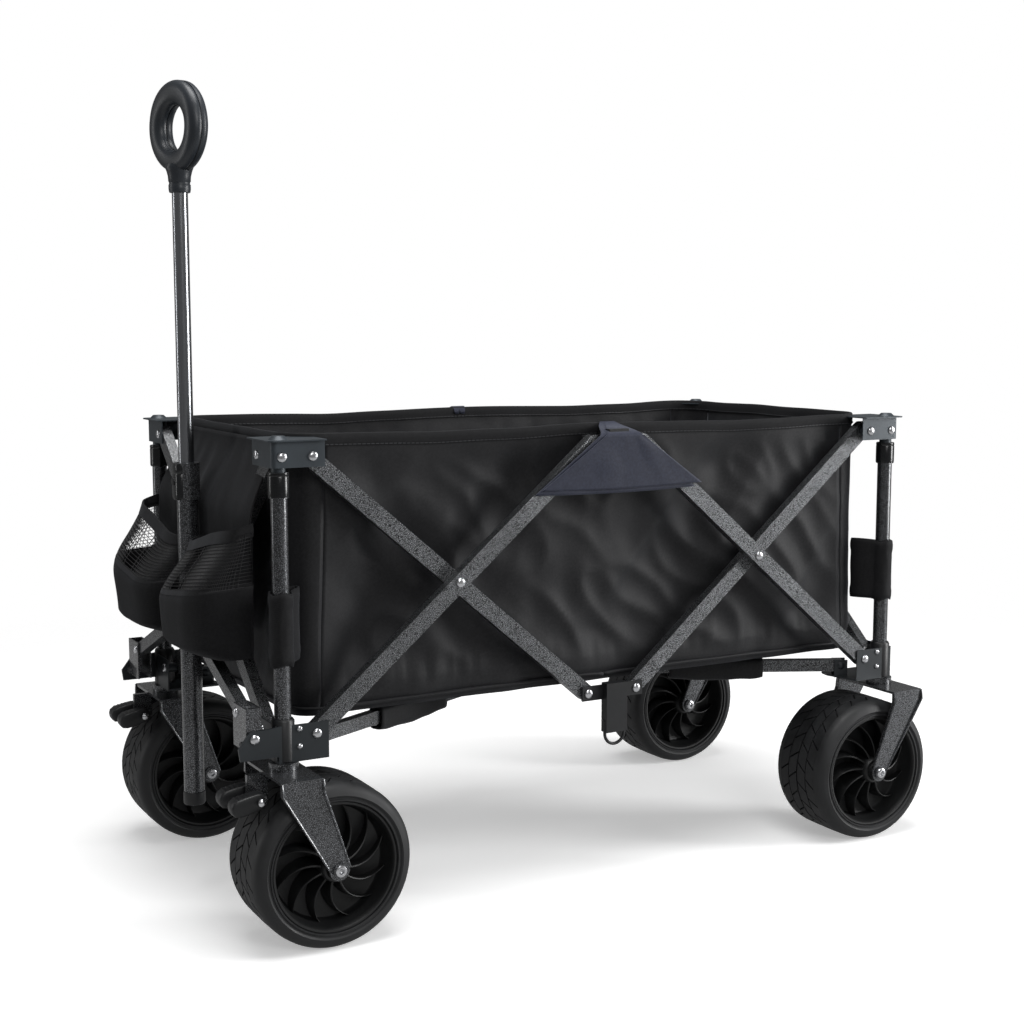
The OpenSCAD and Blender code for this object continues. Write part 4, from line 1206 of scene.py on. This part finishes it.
def make_studio_floor(glow):
    """A matt white floor that glows a little, takes soft shadows and fades out into the white studio.
    It is mostly clear to all but the camera, so that it doesn't light the wagon from below."""
    made, tree, shader, where = start_finish("matt_white_sweep", Roughness=0.9)
    fleck = add_node(tree, "TexNoise", {"Vector": where, "Scale": 3.0, "Detail": 2.0})
    tree.links.new(mixed(tree, fleck.outputs["Fac"], linear("#f4f4f4"), linear("#fafafa")),
                   shader.inputs["Base Color"])
    shader.inputs["Emission Color"].default_value = (1.0, 1.0, 1.0, 1.0)
    shader.inputs["Emission Strength"].default_value = glow
    reach = add_node(tree, "VectorMath", {0: where}, operation="LENGTH").outputs["Value"]
    gone = add_node(tree, "BsdfTransparent").outputs["BSDF"]
    seen = add_node(tree, "LightPath").outputs["Is Camera Ray"]
    thin = add_node(tree, "Math", {0: spread(tree, reach, 0.9, 1.9), 1: spread(tree, seen, 0, 1, 0.72, 0)},
                    operation="MAXIMUM").outputs[0]
    fade = add_node(tree, "MixShader", {"Fac": thin, 1: shader.outputs["BSDF"], 2: gone})
    tree.links.new(fade.outputs["Shader"], tree.nodes["Material Output"].inputs["Surface"])
    mesh = bpy.data.meshes.new("studio_floor")
    edge = [(FLOOR_R * math.cos(a), FLOOR_R * math.sin(a), 0) for a in round_turn(96)]
    mesh.from_pydata(edge, [], [list(range(len(edge)))])
    mesh.materials.append(made)
    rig.stage(add_to_scene("studio_floor", mesh))


def make_world(surround):
    """A white studio: full white to the camera, and much dimmer as light on the wagon."""
    world = bpy.data.worlds.new("white_studio")
    world.use_nodes = True
    sky = world.node_tree
    seen = add_node(sky, "LightPath").outputs["Is Camera Ray"]
    sky.nodes["Background"].inputs["Color"].default_value = (1.0, 1.0, 1.0, 1.0)
    sky.links.new(spread(sky, seen, 0, 1, surround, 1.0), sky.nodes["Background"].inputs["Strength"])
    bpy.context.scene.world = world


def make_soft_boxes(level):
    """Soft boxes round the wagon, all aimed at the middle of the tub."""
    for name, place, size, power in SOFT_BOXES:
        light = bpy.data.lights.new(name, "AREA")
        light.shape = "RECTANGLE"
        light.size, light.size_y = size
        light.energy = power * level
        lamp = add_to_scene(name, light)
        lamp.location = place
        aim = Vector((0, 0, 0.45)) - Vector(place)
        lamp.rotation_euler = aim.to_track_quat("-Z", "Y").to_euler()


# ---- what a user can change ----


def colour_property(name, description, hex_colour):
    """A colour that a user can set, from its sRGB hex value."""
    return bpy.props.FloatVectorProperty(name=name, description=description, subtype="COLOR", size=3,
                                         min=0.0, max=1.0, default=linear(hex_colour)[:3])


class WagonColours(bpy.types.PropertyGroup):
    """Colours of the wagon's finishes."""

    tube: colour_property("Posts and pole", "Crowns of the hammered charcoal coat", "#85878b")
    bar: colour_property("Scissor bars", "Crowns of the hammered silver coat", "#8e9093")
    sheet: colour_property("Top brackets", "Satin coat of the pressed brackets", "#373d42")
    # A darker copy of the top brackets' colour: painted shade for the lower brackets under the tub.
    bracket: colour_property("Lower brackets", "Satin coat of the lower brackets", "#23272a")
    zinc: colour_property("Rivets", "Zinc plate of rivets and bolts", "#dcdde0")
    slide: colour_property("Sliding tube", "Black chrome of the pole's sliding tube", "#a2a4a8")
    plastic: colour_property("Fittings", "Black plastic of hubs, bushings and brakes", "#0e0f11")
    rim: colour_property("Rims", "Black nylon of the rims", "#060708")
    grip: colour_property("Grip", "Slate plastic of the grip", "#22262b")
    tyre: colour_property("Tyres", "Foam rubber of the tyres", "#0e0f11")
    cloth: colour_property("Cloth", "Oxford cloth of the tub and the arm sleeves", "#121214")
    flap: colour_property("Flaps", "Oxford cloth of the hub flaps", "#1f2230")
    # On the pocket cloth this darker colour stands in partly for painted shade on the front end.
    tape: colour_property("Tape", "Binding tape, pocket cloth and post sleeves", "#0b0b0d")
    net: colour_property("Net", "Knitted net of the pockets", "#131315")
    thread: colour_property("Thread", "Stitching along the rim", "#242528")


class WagonSizes(bpy.types.PropertyGroup):
    """Sizes of the cloth and of the moulded detail."""

    grip_turn: bpy.props.FloatProperty(
        name="Grip turn", description="How far the grip is turned on its round tube, in degrees",
        default=13.0, min=-30.0, max=30.0)
    fold_depth: bpy.props.FloatProperty(
        name="Fold depth", description="How strongly the wall cloth sags and creases",
        default=1.0, min=0.0, max=1.6, subtype="FACTOR")
    flap_width: bpy.props.FloatProperty(
        name="Flap width", description="Width of a hub flap's lower edge, in mm",
        default=231.0, min=180.0, max=280.0)
    tread_depth: bpy.props.FloatProperty(
        name="Tread depth", description="Height of the tyre's blocks",
        default=0.0034, min=0.001, max=0.006, unit="LENGTH", subtype="DISTANCE")
    blade_count: bpy.props.IntProperty(
        name="Fan blades", description="Blades on each face of a rim", default=12, min=6, max=18)


class WagonStage(bpy.types.PropertyGroup):
    """Light around the wagon."""

    surround: bpy.props.FloatProperty(
        name="Surround", description="Light from all round the studio", default=0.16, min=0.0, max=3.0)
    floor_glow: bpy.props.FloatProperty(
        name="Floor glow", description="Light that the floor gives off", default=0.35, min=0.0, max=1.0)
    light_level: bpy.props.FloatProperty(
        name="Light level", description="Share of the soft boxes' power", default=1.0, min=0.0, max=4.0)


# ---- operators ----


class WAGON_OT_finishes(bpy.types.Operator):
    """Make the finishes and put them on the frame's own parts"""

    bl_idname = "wagon.finishes"
    bl_label = "Finishes"

    def execute(self, context):
        make_finishes(context.scene.wagon_colours)
        dress_frame()
        return {"FINISHED"}


class WAGON_OT_tub(bpy.types.Operator):
    """Make the cloth tub with its bound rim and its floor"""

    bl_idname = "wagon.tub"
    bl_label = "Cloth tub"

    def execute(self, context):
        make_tub(context.scene.wagon_sizes)
        return {"FINISHED"}


class WAGON_OT_flaps(bpy.types.Operator):
    """Make the flaps that cover the top hubs"""

    bl_idname = "wagon.flaps"
    bl_label = "Hub flaps"

    def execute(self, context):
        make_flaps(context.scene.wagon_sizes)
        return {"FINISHED"}


class WAGON_OT_sleeves(bpy.types.Operator):
    """Make the sleeves on the posts and on the floor arms"""

    bl_idname = "wagon.sleeves"
    bl_label = "Sleeves"

    def execute(self, context):
        for c in CORNERS:
            make_post_sleeve(c)
            make_arm_sleeve(c)
        return {"FINISHED"}


class WAGON_OT_pockets(bpy.types.Operator):
    """Make the cloth behind the pockets and the two netted pockets on it"""

    bl_idname = "wagon.pockets"
    bl_label = "Pockets"

    def execute(self, context):
        make_apron()
        for side in SIDES:
            make_pocket(side)
        return {"FINISHED"}


class WAGON_OT_grip(bpy.types.Operator):
    """Make the ring grip of the handle"""

    bl_idname = "wagon.grip"
    bl_label = "Grip"

    def execute(self, context):
        make_grip(context.scene.wagon_sizes)
        return {"FINISHED"}


class WAGON_OT_pole_fittings(bpy.types.Operator):
    """Make the pole's collar and foot, and the sockets and bushings of the posts"""

    bl_idname = "wagon.pole_fittings"
    bl_label = "Collar and bushings"

    def execute(self, context):
        make_collar()
        make_foot()
        for c in CORNERS:
            make_post_fittings(c)
        return {"FINISHED"}


class WAGON_OT_rivets(bpy.types.Operator):
    """Make the rivet heads and axle nuts"""

    bl_idname = "wagon.rivets"
    bl_label = "Rivets and nuts"

    def execute(self, context):
        make_rivets()
        for c in CORNERS:
            make_axle_nuts(c)
        return {"FINISHED"}


class WAGON_OT_tyres(bpy.types.Operator):
    """Make the four treaded tyres"""

    bl_idname = "wagon.tyres"
    bl_label = "Tyres"

    def execute(self, context):
        for c in CORNERS:
            make_tyre(c, context.scene.wagon_sizes)
        return {"FINISHED"}


class WAGON_OT_rims(bpy.types.Operator):
    """Make the four fan-bladed rims"""

    bl_idname = "wagon.rims"
    bl_label = "Rims"

    def execute(self, context):
        for c in CORNERS:
            make_rim(c, context.scene.wagon_sizes)
        return {"FINISHED"}


class WAGON_OT_forks(bpy.types.Operator):
    """Make the pressed flanges of the forks"""

    bl_idname = "wagon.forks"
    bl_label = "Fork flanges"

    def execute(self, context):
        for c in CORNERS:
            make_fork_flange(c)
        return {"FINISHED"}


class WAGON_OT_brakes(bpy.types.Operator):
    """Make the foot brakes of the front casters"""

    bl_idname = "wagon.brakes"
    bl_label = "Foot brakes"

    def execute(self, context):
        for side in SIDES:
            make_brake("front_" + side)
        return {"FINISHED"}


class WAGON_OT_stage(bpy.types.Operator):
    """Make the floor, the lights and the camera"""

    bl_idname = "wagon.stage"
    bl_label = "Stage"

    def execute(self, context):
        stage = context.scene.wagon_stage
        make_camera()
        make_studio_floor(stage.floor_glow)
        make_world(stage.surround)
        make_soft_boxes(stage.light_level)
        context.scene.view_settings.view_transform = "Standard"
        return {"FINISHED"}


OPERATORS = (WAGON_OT_finishes, WAGON_OT_tub, WAGON_OT_flaps, WAGON_OT_sleeves, WAGON_OT_pockets,
             WAGON_OT_grip, WAGON_OT_pole_fittings, WAGON_OT_rivets, WAGON_OT_tyres, WAGON_OT_rims,
             WAGON_OT_forks, WAGON_OT_brakes, WAGON_OT_stage)


class WAGON_PT_panel(bpy.types.Panel):
    """Lists what the wagon is made of"""

    bl_idname = "WAGON_PT_panel"
    bl_label = "Camp wagon"
    bl_space_type = "VIEW_3D"
    bl_region_type = "UI"
    bl_category = "Camp wagon"

    def draw(self, context):
        for group in (context.scene.wagon_colours, context.scene.wagon_sizes, context.scene.wagon_stage):
            box = self.layout.box()
            for name in group.__annotations__:
                box.prop(group, name)
        for made in OPERATORS:
            self.layout.operator(made.bl_idname)


CLASSES = (WagonColours, WagonSizes, WagonStage, *OPERATORS, WAGON_PT_panel)


def register():
    for made in CLASSES:
        bpy.utils.register_class(made)
    bpy.types.Scene.wagon_colours = bpy.props.PointerProperty(type=WagonColours)
    bpy.types.Scene.wagon_sizes = bpy.props.PointerProperty(type=WagonSizes)
    bpy.types.Scene.wagon_stage = bpy.props.PointerProperty(type=WagonStage)


def unregister():
    del bpy.types.Scene.wagon_stage
    del bpy.types.Scene.wagon_sizes
    del bpy.types.Scene.wagon_colours
    for made in reversed(CLASSES):
        bpy.utils.unregister_class(made)


def main():
    register()
    for made in OPERATORS:
        getattr(bpy.ops.wagon, made.bl_idname.split(".")[1])()
    with open("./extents.json", "w") as out:
        json.dump({"cad": [list(p) for p in CAD_BOX], "visual": [list(p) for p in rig.bounds()]}, out)


if __name__ == "__main__":
    main()
